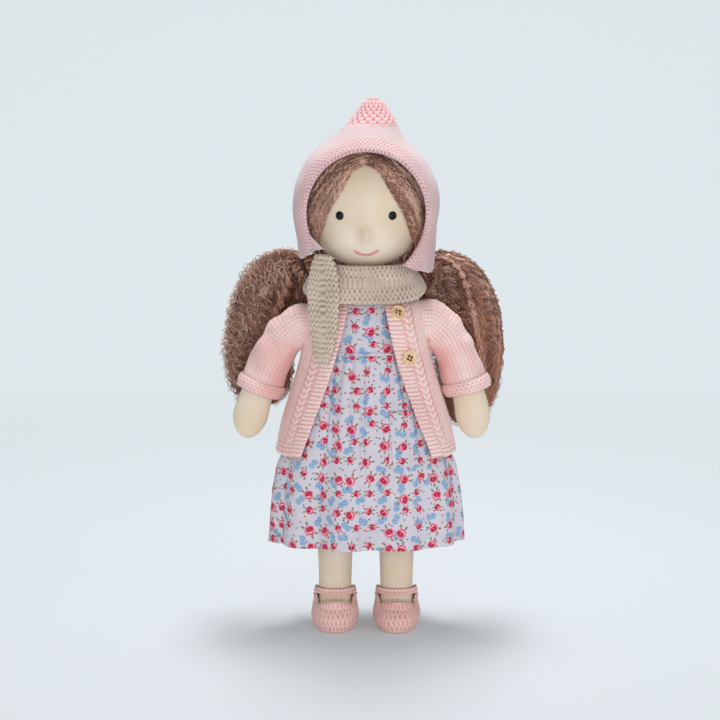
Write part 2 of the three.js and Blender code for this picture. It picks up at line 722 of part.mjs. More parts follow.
function ponytail(side, length, keepClear) {
  const [halfX, halfY] = [PONYTAIL_WIDTH / 2, PONYTAIL_DEPTH / 2];
  let made = limb(
    ponytailPath(side, length),
    [
      [0, PONYTAIL_NECK, PONYTAIL_NECK],
      [0.17, PONYTAIL_NECK, PONYTAIL_NECK],
      [0.22, halfX * 0.38, halfY * 0.5],
      [0.29, halfX * 0.52, halfY * 0.72],
      [0.36, halfX * 0.76, halfY * 0.88],
      [0.45, halfX * 0.9, halfY * 0.96],
      [0.6, halfX * 0.98, halfY],
      [0.72, halfX, halfY],
      [0.86, halfX * 0.84, halfY * 0.86],
      [0.95, halfX * 0.6, halfY * 0.6],
      [1, halfX * 0.24, halfY * 0.24],
    ],
    14,
    [0, 0.08, 0.17, 0.21, 0.26, 0.32, 0.4, 0.5, 0.62, 0.74, 0.84, 0.91, 0.96, 1],
  );
  for (const piece of keepClear) made = made.subtract(piece);
  return made;
}

function tie(side, grow = 0) {
  const ring = new THREE.TorusGeometry(PONYTAIL_NECK + GAP + TIE_THREAD + 0.2, TIE_THREAD + grow, 6, 14);
  const path = ponytailPath(side, LEFT_PONYTAIL_LENGTH);
  const middle = path.getPoint(TIE_SHARE);
  const along = path.getTangent(TIE_SHARE);
  const turn = new THREE.Quaternion().setFromUnitVectors(at(0, 0, 1), along);
  return solid(ring.applyQuaternion(turn).translate(middle.x, middle.y, middle.z));
}

// Bonnet

const bonnetHalf = wigHalf(HEAD_WIDTH) + HAIR_EASE + BONNET_WALL;
const bonnetSection = sectionsThrough([
  [HEAD_Z - 48, bonnetHalf - 3.2, bonnetHalf - 2],
  [HEAD_Z - 24, bonnetHalf - 3.2, bonnetHalf - 0.6],
  [HEAD_Z - 15, bonnetHalf - 2.2, bonnetHalf],
  [HEAD_Z, bonnetHalf, bonnetHalf + 0.5],
  [HEAD_Z + 15, bonnetHalf - 1.8, bonnetHalf - 1.4],
  [HEAD_Z + 25, bonnetHalf - 5.9, bonnetHalf - 5.4],
  [HEAD_Z + 32, bonnetHalf - 10, bonnetHalf - 9.6],
  [HEAD_Z + 38, bonnetHalf - 15.8, bonnetHalf - 15.4],
  [HEAD_Z + 45, bonnetHalf - 23.8, bonnetHalf - 23],
  [HEAD_Z + BONNET_POINT - 18, 18, 18],
  [HEAD_Z + BONNET_POINT - 12, 13.6, 13],
  [HEAD_Z + BONNET_POINT - 6, 9, 8.6],
  [HEAD_Z + BONNET_POINT - 2, 6.2, 6],
  [HEAD_Z + BONNET_POINT, 3.4, 3.2],
]);

function bonnet() {
  const heights = [
    ...steps(HEAD_Z - 48, HEAD_Z + 25, 6),
    ...steps(HEAD_Z + 32, HEAD_Z + 45, 2),
    ...steps(HEAD_Z + BONNET_POINT - 18, HEAD_Z + BONNET_POINT - 6, 2),
    HEAD_Z + BONNET_POINT - 2,
    HEAD_Z + BONNET_POINT,
  ];
  const rings = heights.map((height) => {
    const [halfX, halfY] = bonnetSection(height);
    const lean = BONNET_LEAN * smooth(height, HEAD_Z + 38, HEAD_Z + BONNET_POINT - 8);
    return oval(halfX, halfY, height, 26, 2, at(lean, lean * 0.4, 0));
  });
  const below = stack(bonnetSection, steps(HEAD_Z - 50, HEAD_Z + 4, 4), 26, -BONNET_WALL);
  let inside = wigForm(HAIR_EASE).add(below);
  for (const side of Object.values(SIDES)) inside = inside.add(tieRoom(side));
  const opening = new THREE.Shape();
  const openingMiddle = HEAD_Z + OPENING_TOP - OPENING_TALL / 2;
  opening.absellipse(0, openingMiddle, OPENING_WIDTH / 2, OPENING_TALL / 2, 0, 2 * Math.PI);
  const hem = HEAD_Z - BONNET_HEM;
  // The left front corner hangs lower than the right one, and is rounded.
  const under = {
    left: [
      [6, hem],
      [-2, hem - FLAP_DROP - 3],
      [-16, hem - FLAP_DROP - 4],
      [-30, hem - FLAP_DROP - 1],
      [-41, hem - 1],
      [-80, hem - 1],
    ],
    right: [
      [-14, hem],
      [-30, hem - FLAP_DROP],
      [-40, hem - FLAP_DROP + 2],
      [-80, hem - FLAP_DROP + 2],
    ],
  };
  const hemCutters = Object.entries(SIDES).map(([name, side]) =>
    sideCutter(outline([[80, hem - 60], [80, hem], ...under[name], [-80, hem - 60]]), side * 40, 80),
  );
  // The right front corner is tucked up, out of the way of the scarf's tail.
  const tucked = outline([
    [-41.5, hem - 40],
    [-41.5, hem],
    [-39.5, hem + 9],
    [-37, hem + 9],
    [-12, hem - 8],
    [-12, hem - 40],
  ]);
  let made = solid(skin(rings)).subtract(inside).subtract(frontCutter(opening, -90, -4));
  made = made.subtract(frontCutter(tucked, -90, -4));
  for (const cutter of hemCutters) made = made.subtract(cutter);
  return made;
}

// The room that the gathered hair and its tie need at the bonnet's hem.
function tieRoom(side) {
  const room = PONYTAIL_NECK + 2 * TIE_THREAD + TIE_ROOM;
  const sizes = [
    [0, room, room],
    [0.4, room + 5, room + 5],
    [1, 8, 8],
  ];
  return limb(ponytailPath(side, LEFT_PONYTAIL_LENGTH), sizes, 12, steps(0, 1, 9));
}

// Scarf

// The wool's own section is flat with soft edges: [share of the half width, share of the half thickness].
const WOOL_SECTION = [
  [-1, 0],
  [-0.93, 0.8],
  [0, 1],
  [0.93, 0.8],
  [1, 0],
  [0.93, -0.8],
  [0, -1],
  [-0.93, -0.8],
];

function woolRing(middle, wide, face, halfWidth, halfThickness) {
  return WOOL_SECTION.map(([across, through]) =>
    middle.clone().addScaledVector(wide, across * halfWidth).addScaledVector(face, through * halfThickness),
  );
}

// The section of the band at a turn round the neck, which leans in more at the sides than at the front.
function scarfSection(turn, grow) {
  const [c, n] = [Math.cos(turn), Math.sin(turn)];
  const power = 2 / SCARF_ROUND;
  const front = Math.max(0, -n);
  const lobe = 2.5 * bell(turn - 1.06 * Math.PI, 0.35);
  const across = (SCARF_ACROSS / 2 + lobe) * Math.sign(c) * Math.abs(c) ** power;
  const depth = (n < 0 ? SCARF_FRONT : SCARF_BACK) * Math.sign(n) * Math.abs(n) ** power;
  const lean = THREE.MathUtils.degToRad(THREE.MathUtils.lerp(30, 15, front ** 0.8));
  const out = at(c / (SCARF_ACROSS / 2), n / SCARF_FRONT, 0).normalize();
  const up = at(0, 0, Math.cos(lean)).addScaledVector(out, -Math.sin(lean));
  const face = out.clone().multiplyScalar(Math.cos(lean)).addScaledVector(at(0, 0, 1), Math.sin(lean));
  const middle = at(across, depth, NECK_HEIGHT - SCARF_DROP + SCARF_SIDE_RISE * (1 - front));
  const narrow = THREE.MathUtils.lerp(0.8, 1, smooth(front, 0, 0.7));
  return woolRing(middle, up, face, (SCARF_WIDTH / 2) * narrow + grow, SCARF_THICKNESS / 2 + grow);
}

// The tail hangs from the front of the bonnet over the band: [x, y, share of its length, half width, turn].
function scarfTail(grow) {
  const top = NECK_HEIGHT + TAIL_RISE;
  const half = TAIL_WIDTH / 2;
  const stations = [
    [-28, -26.4, 0, half * 0.5, 34],
    [-27.4, -26.8, 0.07, half * 0.7, 32],
    [-27.8, -26.4, 0.2, half * 0.88, 30],
    [-28.5, -26.2, 0.33, half, 30],
    [-28, -26.6, 0.5, half * 0.9, 27],
    [-28, -27.1, 0.7, half * 0.75, 24],
    [-28.3, -28.8, 0.9, half * 0.54, 22],
    [-28.5, -29.3, 1, half * 0.26, 22],
  ];
  const rings = stations.map(([x, y, share, halfWidth, degrees]) => {
    const turn = THREE.MathUtils.degToRad(degrees);
    const along = at(Math.cos(turn), -Math.sin(turn), 0);
    const face = at(-Math.sin(turn), -Math.cos(turn), 0);
    return woolRing(at(x, y, top - share * TAIL_LENGTH), along, face, halfWidth + grow, SCARF_THICKNESS / 2 + grow);
  });
  return solid(skin(rings));
}

function scarf(grow) {
  const turns = steps(0, 2 * Math.PI, 26).slice(0, -1);
  const band = solid(skin(turns.map((turn) => scarfSection(turn, grow)), true));
  return band.add(scarfTail(grow));
}

// Dress

const bodiceHeights = torsoHeights.filter((height) => height > WAIST_HEIGHT && height < TORSO_TOP + 1);
const armhole = (side, radius) =>
  solid(
    new THREE.CylinderGeometry(radius, radius, 40, 18)
      .rotateZ(Math.PI / 2)
      .translate(side * (SHOULDER_WIDTH / 2 + 10), 0, shoulderOf(side)),
  );

function bodice() {
  const outer = stack(torsoSection, bodiceHeights, 20, GAP + DRESS_CLOTH, BODY_ROUND);
  const innerHeights = [WAIST_HEIGHT - 4, ...bodiceHeights, TORSO_TOP + 4];
  const inner = stack(torsoSection, innerHeights, 20, GAP, BODY_ROUND);
  const neckline = solid(
    skin([TORSO_TOP - 12, TORSO_TOP + 20].map((height) => oval(NECK_RADIUS + 9, NECK_RADIUS + 4, height, 18))),
  );
  let made = outer.subtract(inner).subtract(neckline);
  for (const side of Object.values(SIDES)) made = made.subtract(armhole(side, ARM_RADIUS + 1.4));
  return made;
}

const [waistX, waistY] = torsoSection(WAIST_HEIGHT).map((half) => half + GAP + DRESS_CLOTH);
const skirtSection = sectionsThrough([
  [HEM_HEIGHT, HEM_WIDTH / 2, HEM_DEPTH / 2],
  [HEM_HEIGHT + 28, HEM_WIDTH / 2 - 2.2, HEM_DEPTH / 2 - 1.2],
  [CARDIGAN_HEM - 9, HEM_WIDTH / 2 - 6.5, HEM_DEPTH / 2 - 2.6],
  [CARDIGAN_HEM + 2, CARDIGAN_HEM_WIDTH / 2 - KNIT - CARDIGAN_EASE - 0.8, HEM_DEPTH / 2 - 4.4],
  [CARDIGAN_HEM + 18, CARDIGAN_HEM_WIDTH / 2 - KNIT - CARDIGAN_EASE - 4.2, HEM_DEPTH / 2 - 6.8],
  [WAIST_HEIGHT - 30, waistX + 12.2, waistY + 7.6],
  [WAIST_HEIGHT - 12, waistX + 4.8, waistY + 3],
  [WAIST_HEIGHT, waistX, waistY],
]);

// The folds run down from the gathered waist and deepen to the hem.
function skirtFold(turn, height) {
  const down = clamp((WAIST_HEIGHT - height) / (WAIST_HEIGHT - HEM_HEIGHT), 0, 1);
  const depth = FOLD_DEPTH * down ** 1.15 + 0.5 * smooth(down, 0, 0.1);
  const wave = 0.5 - 0.5 * Math.cos(SKIRT_FOLDS * turn + 0.8 * Math.sin(2 * turn) + 0.6);
  return depth * wave ** 1.3;
}

function skirtPoint(turn, height, offset) {
  const [halfX, halfY] = skirtSection(height);
  const fold = skirtFold(turn, height);
  const power = 2 / THREE.MathUtils.lerp(2, BODY_ROUND, smooth(height, CARDIGAN_HEM, WAIST_HEIGHT));
  const [c, n] = [Math.cos(turn), Math.sin(turn)];
  return at(
    (halfX - fold + offset) * Math.sign(c) * Math.abs(c) ** power,
    (halfY - fold * 0.8 + offset) * Math.sign(n) * Math.abs(n) ** power,
    height,
  );
}

const skirtHeights = [HEM_HEIGHT, ...steps(HEM_HEIGHT + 30, WAIST_HEIGHT - 14, 3), WAIST_HEIGHT];

// The cloth between two offsets from the skirt's outer face.
function skirtCloth(inside, outside) {
  const sides = SKIRT_FOLDS * 6;
  const ring = (height, offset) =>
    Array.from({ length: sides }, (_, s) => skirtPoint((2 * Math.PI * s) / sides, height, offset));
  const outer = skirtHeights.map((height) => ring(height, outside));
  const inner = skirtHeights.map((height) => ring(height, inside)).reverse();
  return solid(skin([...outer, ...inner], true));
}

// The patch pocket follows the skirt's folds.
function pocket() {
  const [low, high] = [POCKET_MIDDLE - POCKET_WIDTH / 2, POCKET_MIDDLE + POCKET_WIDTH / 2];
  const patch = block(at(low, -80, POCKET_TOP - POCKET_TALL), at(high, 0, POCKET_TOP));
  return skirtCloth(GAP, GAP + DRESS_CLOTH * 0.8).intersect(patch);
}

function underpants() {
  const heights = torsoHeights.filter((height) => height < PANTS_TOP);
  const inner = stack(torsoSection, [...heights, PANTS_TOP + 4], 20, GAP, BODY_ROUND);
  let made = stack(torsoSection, [...heights, PANTS_TOP], 20, GAP + PANTS_CLOTH, BODY_ROUND).subtract(inner);
  for (const side of Object.values(SIDES)) made = made.subtract(legRoom(side, HIP_EASE + GAP));
  return made;
}

// Cardigan

const cardiganSection = sectionsThrough([
  [CARDIGAN_HEM, CARDIGAN_HEM_WIDTH / 2, HEM_DEPTH / 2],
  [CARDIGAN_HEM + 18, CARDIGAN_HEM_WIDTH / 2 - 3.6, HEM_DEPTH / 2 - 2.6],
  [CARDIGAN_HEM + 32, CARDIGAN_HEM_WIDTH / 2 - 7.6, HEM_DEPTH / 2 - 5],
  [CARDIGAN_HEM + 48, CARDIGAN_CHEST_WIDTH / 2 + 5.4, HEM_DEPTH / 2 - 7.4],
  [SHOULDER_HEIGHT - 21, CARDIGAN_CHEST_WIDTH / 2 + 0.9, CARDIGAN_CHEST_DEPTH / 2 + 2.5],
  [SHOULDER_HEIGHT - 11, CARDIGAN_CHEST_WIDTH / 2, CARDIGAN_CHEST_DEPTH / 2 + 1],
  [SHOULDER_HEIGHT, CARDIGAN_CHEST_WIDTH / 2, CARDIGAN_CHEST_DEPTH / 2],
  [SHOULDER_HEIGHT + 8, CARDIGAN_CHEST_WIDTH / 2 - 0.8, CARDIGAN_CHEST_DEPTH / 2 - 2.5],
  [SHOULDER_HEIGHT + SHOULDER_RISE, CARDIGAN_CHEST_WIDTH / 2 - 5.5, CARDIGAN_CHEST_DEPTH / 2 - 7.5],
  [TORSO_TOP, NECK_RADIUS + 15, NECK_RADIUS + 6.6],
  [TORSO_TOP + 3, NECK_RADIUS + 9, NECK_RADIUS + 5.5],
]);
const cardiganTop = TORSO_TOP + 3;

// How far a front's edge stands from the middle of the doll.
function frontEdge(height) {
  const down = clamp((cardiganTop - height) / (cardiganTop - CARDIGAN_HEM), 0, 1);
  return THREE.MathUtils.lerp(FRONT_GAP_TOP / 2, FRONT_GAP_BOTTOM / 2, down ** 1.35);
}

function cardigan() {
  const heights = [...steps(CARDIGAN_HEM, SHOULDER_HEIGHT - 4, 5), ...steps(SHOULDER_HEIGHT + 4, cardiganTop, 4)];
  const outer = stack(cardiganSection, heights, 28, 0, CARDIGAN_ROUND);
  const innerHeights = [CARDIGAN_HEM - 3, ...heights.slice(1, -1), cardiganTop - 0.5];
  const inner = stack(cardiganSection, innerHeights, 28, -KNIT, CARDIGAN_ROUND);
  const neckline = solid(
    skin([TORSO_TOP - 6, TORSO_TOP + 20].map((height) => oval(NECK_RADIUS + 5, NECK_RADIUS + 4, height, 18))),
  );
  const edge = new THREE.Shape();
  const levels = steps(cardiganTop + 8, CARDIGAN_HEM - 8, 6);
  edge.moveTo(frontEdge(levels[0]), levels[0]);
  levels.slice(1).forEach((height) => edge.lineTo(frontEdge(height), height));
  [...levels].reverse().forEach((height) => edge.lineTo(-frontEdge(height), height));
  let made = outer.subtract(inner).subtract(neckline).subtract(frontCutter(edge, -80, 0));
  for (const side of Object.values(SIDES)) made = made.subtract(armhole(side, ARM_RADIUS + 1.6));
  return made;
}

// Buttons

function button(height) {
  const across = frontEdge(height) + BUTTON_INSET;
  const place = (x, z) => {
    const [halfX, halfY] = cardiganSection(z);
    return at(x, -halfY * (1 - (x / halfX) ** CARDIGAN_ROUND) ** (1 / CARDIGAN_ROUND), z);
  };
  const right = place(across + 1, height).sub(place(across - 1, height));
  const rise = place(across, height + 1).sub(place(across, height - 1));
  const normal = right.cross(rise).normalize();
  const [r, t] = [BUTTON_RADIUS, BUTTON_THICKNESS];
  const dish = t - BUTTON_RIM;
  const profile = [
    [0, 0],
    [r * 0.8, 0],
    [r, t * 0.35],
    [r, t * 0.7],
    [r * 0.88, t],
    [r * 0.72, t],
    [r * 0.6, dish],
    [0, dish],
  ];
  let made = solid(lathe(profile, 18));
  const reach = BUTTON_HOLE_SPACING / 2;
  for (const [x, z] of [[reach, reach], [-reach, reach], [-reach, -reach], [reach, -reach]]) {
    const hole = new THREE.CylinderGeometry(BUTTON_HOLE, BUTTON_HOLE, 3 * t, 6).translate(x, 0, z);
    made = made.subtract(solid(hole));
  }
  const turn = new THREE.Quaternion().setFromUnitVectors(at(0, 1, 0), normal);
  const seat = place(across, height).addScaledVector(normal, GAP);
  return solid(geometryOf(made).applyQuaternion(turn).translate(seat.x, seat.y, seat.z));
}

// Assembly

// The halves of a garment behind and in front of its side seams.
function panels(whole) {
  const seam = GAP / 2;
  const back = whole.intersect(block(at(-HEM_WIDTH, seam, 0), at(HEM_WIDTH, HEM_DEPTH, HEAD_Z)));
  const front = whole.intersect(block(at(-HEM_WIDTH, -HEM_DEPTH, 0), at(HEM_WIDTH, -seam, HEAD_Z)));
  return [back, front];
}

const SKIN = { color: 0xe8d8b8, roughness: 0.85, metalness: 0 };
const PINK = { color: 0xf2c4c4, roughness: 0.95, metalness: 0 };
const OAT = { color: 0xc9bda6, roughness: 0.95, metalness: 0 };
const CURLS = { color: 0x8a6355, roughness: 0.8, metalness: 0 };
const FLORAL = { color: 0xe6e2ef, roughness: 0.9, metalness: 0 };
const COTTON = { color: 0xf4f1ea, roughness: 0.9, metalness: 0 };
const WOOD = { color: 0xd9bd8a, roughness: 0.6, metalness: 0 };
const BLACK = { color: 0x0c0a0a, roughness: 0.35, metalness: 0 };
const CROCHET = { color: 0xd6a3a3, roughness: 0.95, metalness: 0 };
const PINK_THREAD = { color: 0xe59aa0, roughness: 0.8, metalness: 0 };
const ELASTIC = { color: 0x5c4038, roughness: 0.8, metalness: 0 };

const doll = new THREE.Group();
doll.position.y = -AXIS_FORWARD;

function piece(name, made, finish) {
  const mesh = new THREE.Mesh(geometryOf(made), new THREE.MeshStandardMaterial(finish));
  mesh.name = name;
  doll.add(mesh);
}

const [cardiganBack, cardiganFront] = panels(cardigan());
const [skirtBack, skirtFront] = panels(skirtCloth(-DRESS_CLOTH, 0));
const leftHalf = block(at(0, -HEM_DEPTH, 0), at(HEM_WIDTH, 0, HEAD_Z));
const cardiganHeights = steps(CARDIGAN_HEM - 1, cardiganTop, 7);
const cardiganRoom = stack(cardiganSection, cardiganHeights, 20, 2 * GAP, CARDIGAN_ROUND);
const skirtRoom = stack(skirtSection, steps(HEM_HEIGHT, WAIST_HEIGHT, 5), 20, 2 * GAP);
piece("torso", torso(), SKIN);
piece("head", head(), SKIN);
piece("mouth_thread", mouth(), PINK_THREAD);
piece("wig", wig(), CURLS);
piece("bonnet", bonnet(), PINK);
piece("scarf", scarf(0), OAT);
piece("dress_bodice", bodice(), FLORAL);
piece("dress_skirt_back", skirtBack, FLORAL);
piece("dress_skirt_front", skirtFront, FLORAL);
piece("dress_pocket", pocket(), FLORAL);
piece("underpants", underpants(), COTTON);
piece("cardigan_back", cardiganBack, PINK);
piece("cardigan_left_front", cardiganFront.intersect(leftHalf), PINK);
piece("cardigan_right_front", cardiganFront.subtract(leftHalf), PINK);
piece("upper_button", button(UPPER_BUTTON_HEIGHT), WOOD);
piece("lower_button", button(UPPER_BUTTON_HEIGHT - BUTTON_SPACING), WOOD);
for (const [name, side] of Object.entries(SIDES)) {
  const length = side > 0 ? LEFT_PONYTAIL_LENGTH : RIGHT_PONYTAIL_LENGTH;
  const keepClear = [armRoom(side), cardiganRoom, skirtRoom, wigForm(GAP), scarf(GAP), tie(side, GAP)];
  piece(name + "_arm", arm(side), SKIN);
  piece(name + "_sleeve", sleeve(side), PINK);
  piece(name + "_leg", leg(side), SKIN);
  piece(name + "_shoe", shoe(side), CROCHET);
  piece(name + "_shoe_strap", strap(side), CROCHET);
  piece(name + "_eye", eye(side), BLACK);
  piece(name + "_ponytail", ponytail(side, length, keepClear), CURLS);
  piece(name + "_hair_tie", tie(side), ELASTIC);
}

export default doll;
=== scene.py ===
"""The looks of a stuffed cloth doll in knitted clothes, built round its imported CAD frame."""

import math

import bpy
import numpy as np
from bpy.props import FloatProperty, FloatVectorProperty, IntProperty, PointerProperty
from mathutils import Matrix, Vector


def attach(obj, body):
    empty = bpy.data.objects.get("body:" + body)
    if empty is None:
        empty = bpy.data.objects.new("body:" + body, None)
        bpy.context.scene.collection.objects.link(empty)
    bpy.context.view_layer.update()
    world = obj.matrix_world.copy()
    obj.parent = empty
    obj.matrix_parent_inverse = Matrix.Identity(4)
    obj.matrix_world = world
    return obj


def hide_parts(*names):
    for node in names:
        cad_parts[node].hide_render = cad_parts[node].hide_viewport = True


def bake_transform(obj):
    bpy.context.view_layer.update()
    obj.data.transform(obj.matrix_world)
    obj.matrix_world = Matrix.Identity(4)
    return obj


bl_info = {
    "name": "Cloth doll in a knitted bonnet",
    "version": (1, 0, 0),
    "blender": (4, 5, 0),
    "location": "View3D > Sidebar > Cloth doll",
    "description": "Builds the doll's body, hair and clothes round its CAD frame",
    "category": "Add Mesh",
}

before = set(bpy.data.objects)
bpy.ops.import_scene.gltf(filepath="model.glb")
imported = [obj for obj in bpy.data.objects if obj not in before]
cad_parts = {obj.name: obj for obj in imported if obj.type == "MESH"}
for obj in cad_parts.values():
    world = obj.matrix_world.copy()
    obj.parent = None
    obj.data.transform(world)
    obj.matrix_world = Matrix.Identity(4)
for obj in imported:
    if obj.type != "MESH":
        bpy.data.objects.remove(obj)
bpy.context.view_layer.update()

# Measures of the doll in millimetres. Those of its body and its clothes are the same as in its CAD source.
# +X is the doll's left, -Y its front, and Y 0 is the axis of its legs.
AXIS_FORWARD = 4.0
HEAD_Z = 286.0
HEAD_HALF = (38.0, 38.5, 39.5)
NECK_HEIGHT = 240.0
NECK_RADIUS = 12.0
LEG_X = 21.0
HIP_HEIGHT = 128.0
THIGH_RADIUS = 13.5
WAIST_HEIGHT = 190.5
SHOULDER_HEIGHT = 208.0
SHOULDER_TILT = 1.5
TORSO_TOP = 226.0
ARM_START = 43.6
ARM_RADIUS = 10.6
ARM_SPREAD = 2.6
CUFF_SHARE = 0.685
BODY_ROUND = 2.2
CARDIGAN_ROUND = 2.15
CARDIGAN_HEM = 122.0
CARDIGAN_TOP = TORSO_TOP + 3
HEM_HEIGHT = 60.0
SKIRT_FOLDS = 11
EYE_X = 17.1
EYE_DROP = 2.5
MOUTH_DROP = 28.5
TIE_OUT = 40.5
TIE_BACK = 21.0
TIE_HEIGHT = NECK_HEIGHT + 5
TIE_SHARE = 1 / 7
LEG_RADII = (
    (2.75, 6.0),
    (3.4, 9.0),
    (6, 11.2),
    (12, 11.8),
    (20, 11.4),
    (30, 11.1),
    (42, 11.5),
    (66, 12.5),
    (100, 13.3),
    (HIP_HEIGHT, 13.5),
)
PONYTAIL_LENGTHS = {"left": 113, "right": 99}
CAP_HEM = 252.6
# The hairline over the face from the parting to the ear, as across and height, and the cap's edge under it.
HAIRLINE = (
    (0, 318),
    (10, 313.5),
    (16.9, 302),
    (22.5, 293),
    (28.4, 283),
    (31.8, 272),
    (34.9, 262),
    (37.5, 252),
)
CAP_LINE_Z = (252, 262, 272, 283, 293, 302, 313.5, 318)
CAP_LINE_X = (39, 36.7, 33.6, 30.2, 24.3, 18.7, 11.8, 1.5)
BUTTON_HEIGHTS = {"upper": 217.5, "lower": 188.0}
BUTTON_LIFT = 1.95
BUTTON_HOLES = ((1, 1), (1, -1), (-1, 1), (-1, -1))
HOLE_OUT = 1.1
# The scarf's tail: share of its length, middle across and forwards, half width and turn in degrees.
TAIL_STATIONS = (
    (0, -28.2, -27.3, 5.2, 34),
    (0.07, -27.8, -27.5, 7.9, 32),
    (0.2, -27.8, -26.4, 10.56, 30),
    (0.33, -28.5, -26.2, 12, 30),
    (0.5, -28, -26.6, 10.8, 27),
    (0.7, -28, -27.1, 9, 24),
    (0.9, -28.3, -28.8, 6.48, 22),
    (1, -28.5, -29.3, 3.12, 22),
)
TAIL_TOP = 256.6
TAIL_LENGTH = 71.6
TAIL_STITCH = 2.6 / 3
POCKET_HEIGHTS = (115.5, 152.5)
POCKET_ACROSS = (15.5, 42.5)
BODICE_ARMHOLE = ARM_RADIUS + 1.4
CARDIGAN_ARMHOLE = ARM_RADIUS + 1.8
CABLE_ACROSS = 13.6
# The height of a shoe's rim at places from its toe to its heel.
SHOE_RIM = ((-60, 14.6), (-19, 15.2), (-12, 17.6), (-4, 21.4), (4, 23.4), (30, 24.4))
# The width and height of a stitch in the bonnet's band, the cuffs, the shoes and their straps.
BAND_STITCH = (2.8, 2.0)
CUFF_STITCH = (2.9, 2.3)
SHOE_STITCH = (3.0, 4.6)
STRAP_STITCH = (3.0, 2.4)
SCARF_ROW = 2.35
TAIL_ROWS = (3.5, 2.33)
FLOOR_GAP = 0.05
SIDES = {"left": 1, "right": -1}
SEED = 11

TORSO_KEYS = (
    (126, 24, 14),
    (135, 31, 20),
    (152, 35, 25),
    (166, 35, 25),
    (190.5, 33, 23),
    (205, 35.5, 21.5),
    (214, 37, 20),
    (222, 32, 17),
    (226, 22, 13),
    (230, 12.8, 12),
    (239.7, 12, 12),
)
WAIST_HALF = (34.3, 24.3)
SKIRT_KEYS = (
    (60, 67.5, 42),
    (88, 65.3, 40.8),
    (113, 61, 39.4),
    (124, 55.85, 37.6),
    (140, 52.45, 35.2),
    (160.5, WAIST_HALF[0] + 12.2, WAIST_HALF[1] + 7.6),
    (178.5, WAIST_HALF[0] + 4.8, WAIST_HALF[1] + 3),
    (190.5, WAIST_HALF[0], WAIST_HALF[1]),
)
CARDIGAN_KEYS = (
    (122, 60.75, 42),
    (140, 57.15, 39.4),
    (154, 53.15, 37),
    (170, 48.1, 34.6),
    (187, 43.6, 32),
    (197, 42.7, 30.5),
    (208, 42.7, 29.5),
    (216, 41.9, 27),
    (222, 37.2, 22),
    (226, 27, 18.6),
    (229, 21, 17.5),
)
BONNET_KEYS = (
    (238, 45.8, 47),
    (262, 45.8, 48.4),
    (271, 46.8, 49),
    (286, 49, 49.5),
    (301, 47.2, 47.6),
    (311, 43.1, 43.6),
    (318, 39, 39.4),
    (324, 33.2, 33.6),
    (331, 25.2, 26),
    (339, 18, 18),
    (345, 13.6, 13),
    (351, 9, 8.6),
    (355, 6.2, 6),
    (357, 3.4, 3.2),
)
OPENING_HALF = (40.5, 42.0)
OPENING_Z = 284.2
WIG_CENTRE = (0.0, 3.0, HEAD_Z)
WIG_HALF = (45.0, 42.5, 45.5)


# Arrays of places


def smoothstep(value, low, high):
    share = np.clip((value - low) / (high - low), 0, 1)
    return share * share * (3 - 2 * share)


def bell(distance, width):
    return np.exp(-((distance / width) ** 2))


def signed_power(value, power):
    return np.sign(value) * np.abs(value) ** power


def together(*parts):
    """Join numbers and arrays of them into places, or into positions on a cloth."""
    return np.stack(np.broadcast_arrays(*parts), axis=-1)


def unit(vectors):
    return vectors / np.maximum(np.linalg.norm(vectors, axis=-1, keepdims=True), 1e-9)


def sections_through(keys):
    """Give half width and half depth as smooth functions of height."""
    keys = np.array(keys, float)
    heights = keys[:, 0]
    last = len(keys) - 1
    before = keys[np.maximum(np.arange(last + 1) - 1, 0)]
    after = keys[np.minimum(np.arange(last + 1) + 1, last)]
    slopes = (after[:, 1:] - before[:, 1:]) / (after[:, :1] - before[:, :1])

    def section(height):
        height = np.asarray(height, float)
        i = np.clip(np.searchsorted(heights, height, side="right") - 1, 0, last - 1)
        span = heights[i + 1] - heights[i]
        t = np.clip((height - heights[i]) / span, 0, 1)
        halves = []
        for column in (0, 1):
            start, end = keys[i, column + 1], keys[i + 1, column + 1]
            rise = slopes[i, column] * (t**3 - 2 * t**2 + t) + slopes[i + 1, column] * (t**3 - t**2)
            halves.append(start + (end - start) * (3 * t**2 - 2 * t**3) + rise * span)
        return halves

    return section


torso_section = sections_through(TORSO_KEYS)
skirt_section = sections_through(SKIRT_KEYS)
cardigan_section = sections_through(CARDIGAN_KEYS)
bonnet_section = sections_through(BONNET_KEYS)


def path_through(points, shares):
    """Places at shares of a smooth path through points, which are evenly spaced in share."""
    points = np.array(points, float)
    ends = np.vstack([2 * points[0] - points[1], points, 2 * points[-1] - points[-2]])
    place = np.clip(np.asarray(shares, float), 0, 1) * (len(points) - 1)
    i = np.minimum(place.astype(int), len(points) - 2)
    w = (place - i)[:, None]
    p0, p1, p2, p3 = ends[i], ends[i + 1], ends[i + 2], ends[i + 3]

    def chord(a, b):
        return np.linalg.norm(b - a, axis=1, keepdims=True) ** 0.5

    d0, d1, d2 = chord(p0, p1), chord(p1, p2), chord(p2, p3)
    t1 = d1 * ((p1 - p0) / d0 - (p2 - p0) / (d0 + d1) + (p2 - p1) / d1)
    t2 = d1 * ((p2 - p1) / d1 - (p3 - p1) / (d1 + d2) + (p3 - p2) / d2)
    return p1 + t1 * w + (3 * (p2 - p1) - 2 * t1 - t2) * w**2 + (2 * (p1 - p2) + t1 + t2) * w**3


def rings(section, heights, turns, power=2.0, grow=0.0):
    """Points of a form that is stacked from oval sections, one row for each height."""
    half_x, half_y = section(heights)
    c = signed_power(np.cos(turns), 2 / power)
    s = signed_power(np.sin(turns), 2 / power)
    points = np.empty((len(heights), turns.shape[-1], 3))
    points[..., 0] = (np.reshape(half_x, (-1, 1)) + grow) * c
    points[..., 1] = (np.reshape(half_y, (-1, 1)) + grow) * s
    points[..., 2] = np.reshape(heights, (-1, 1))
    return points


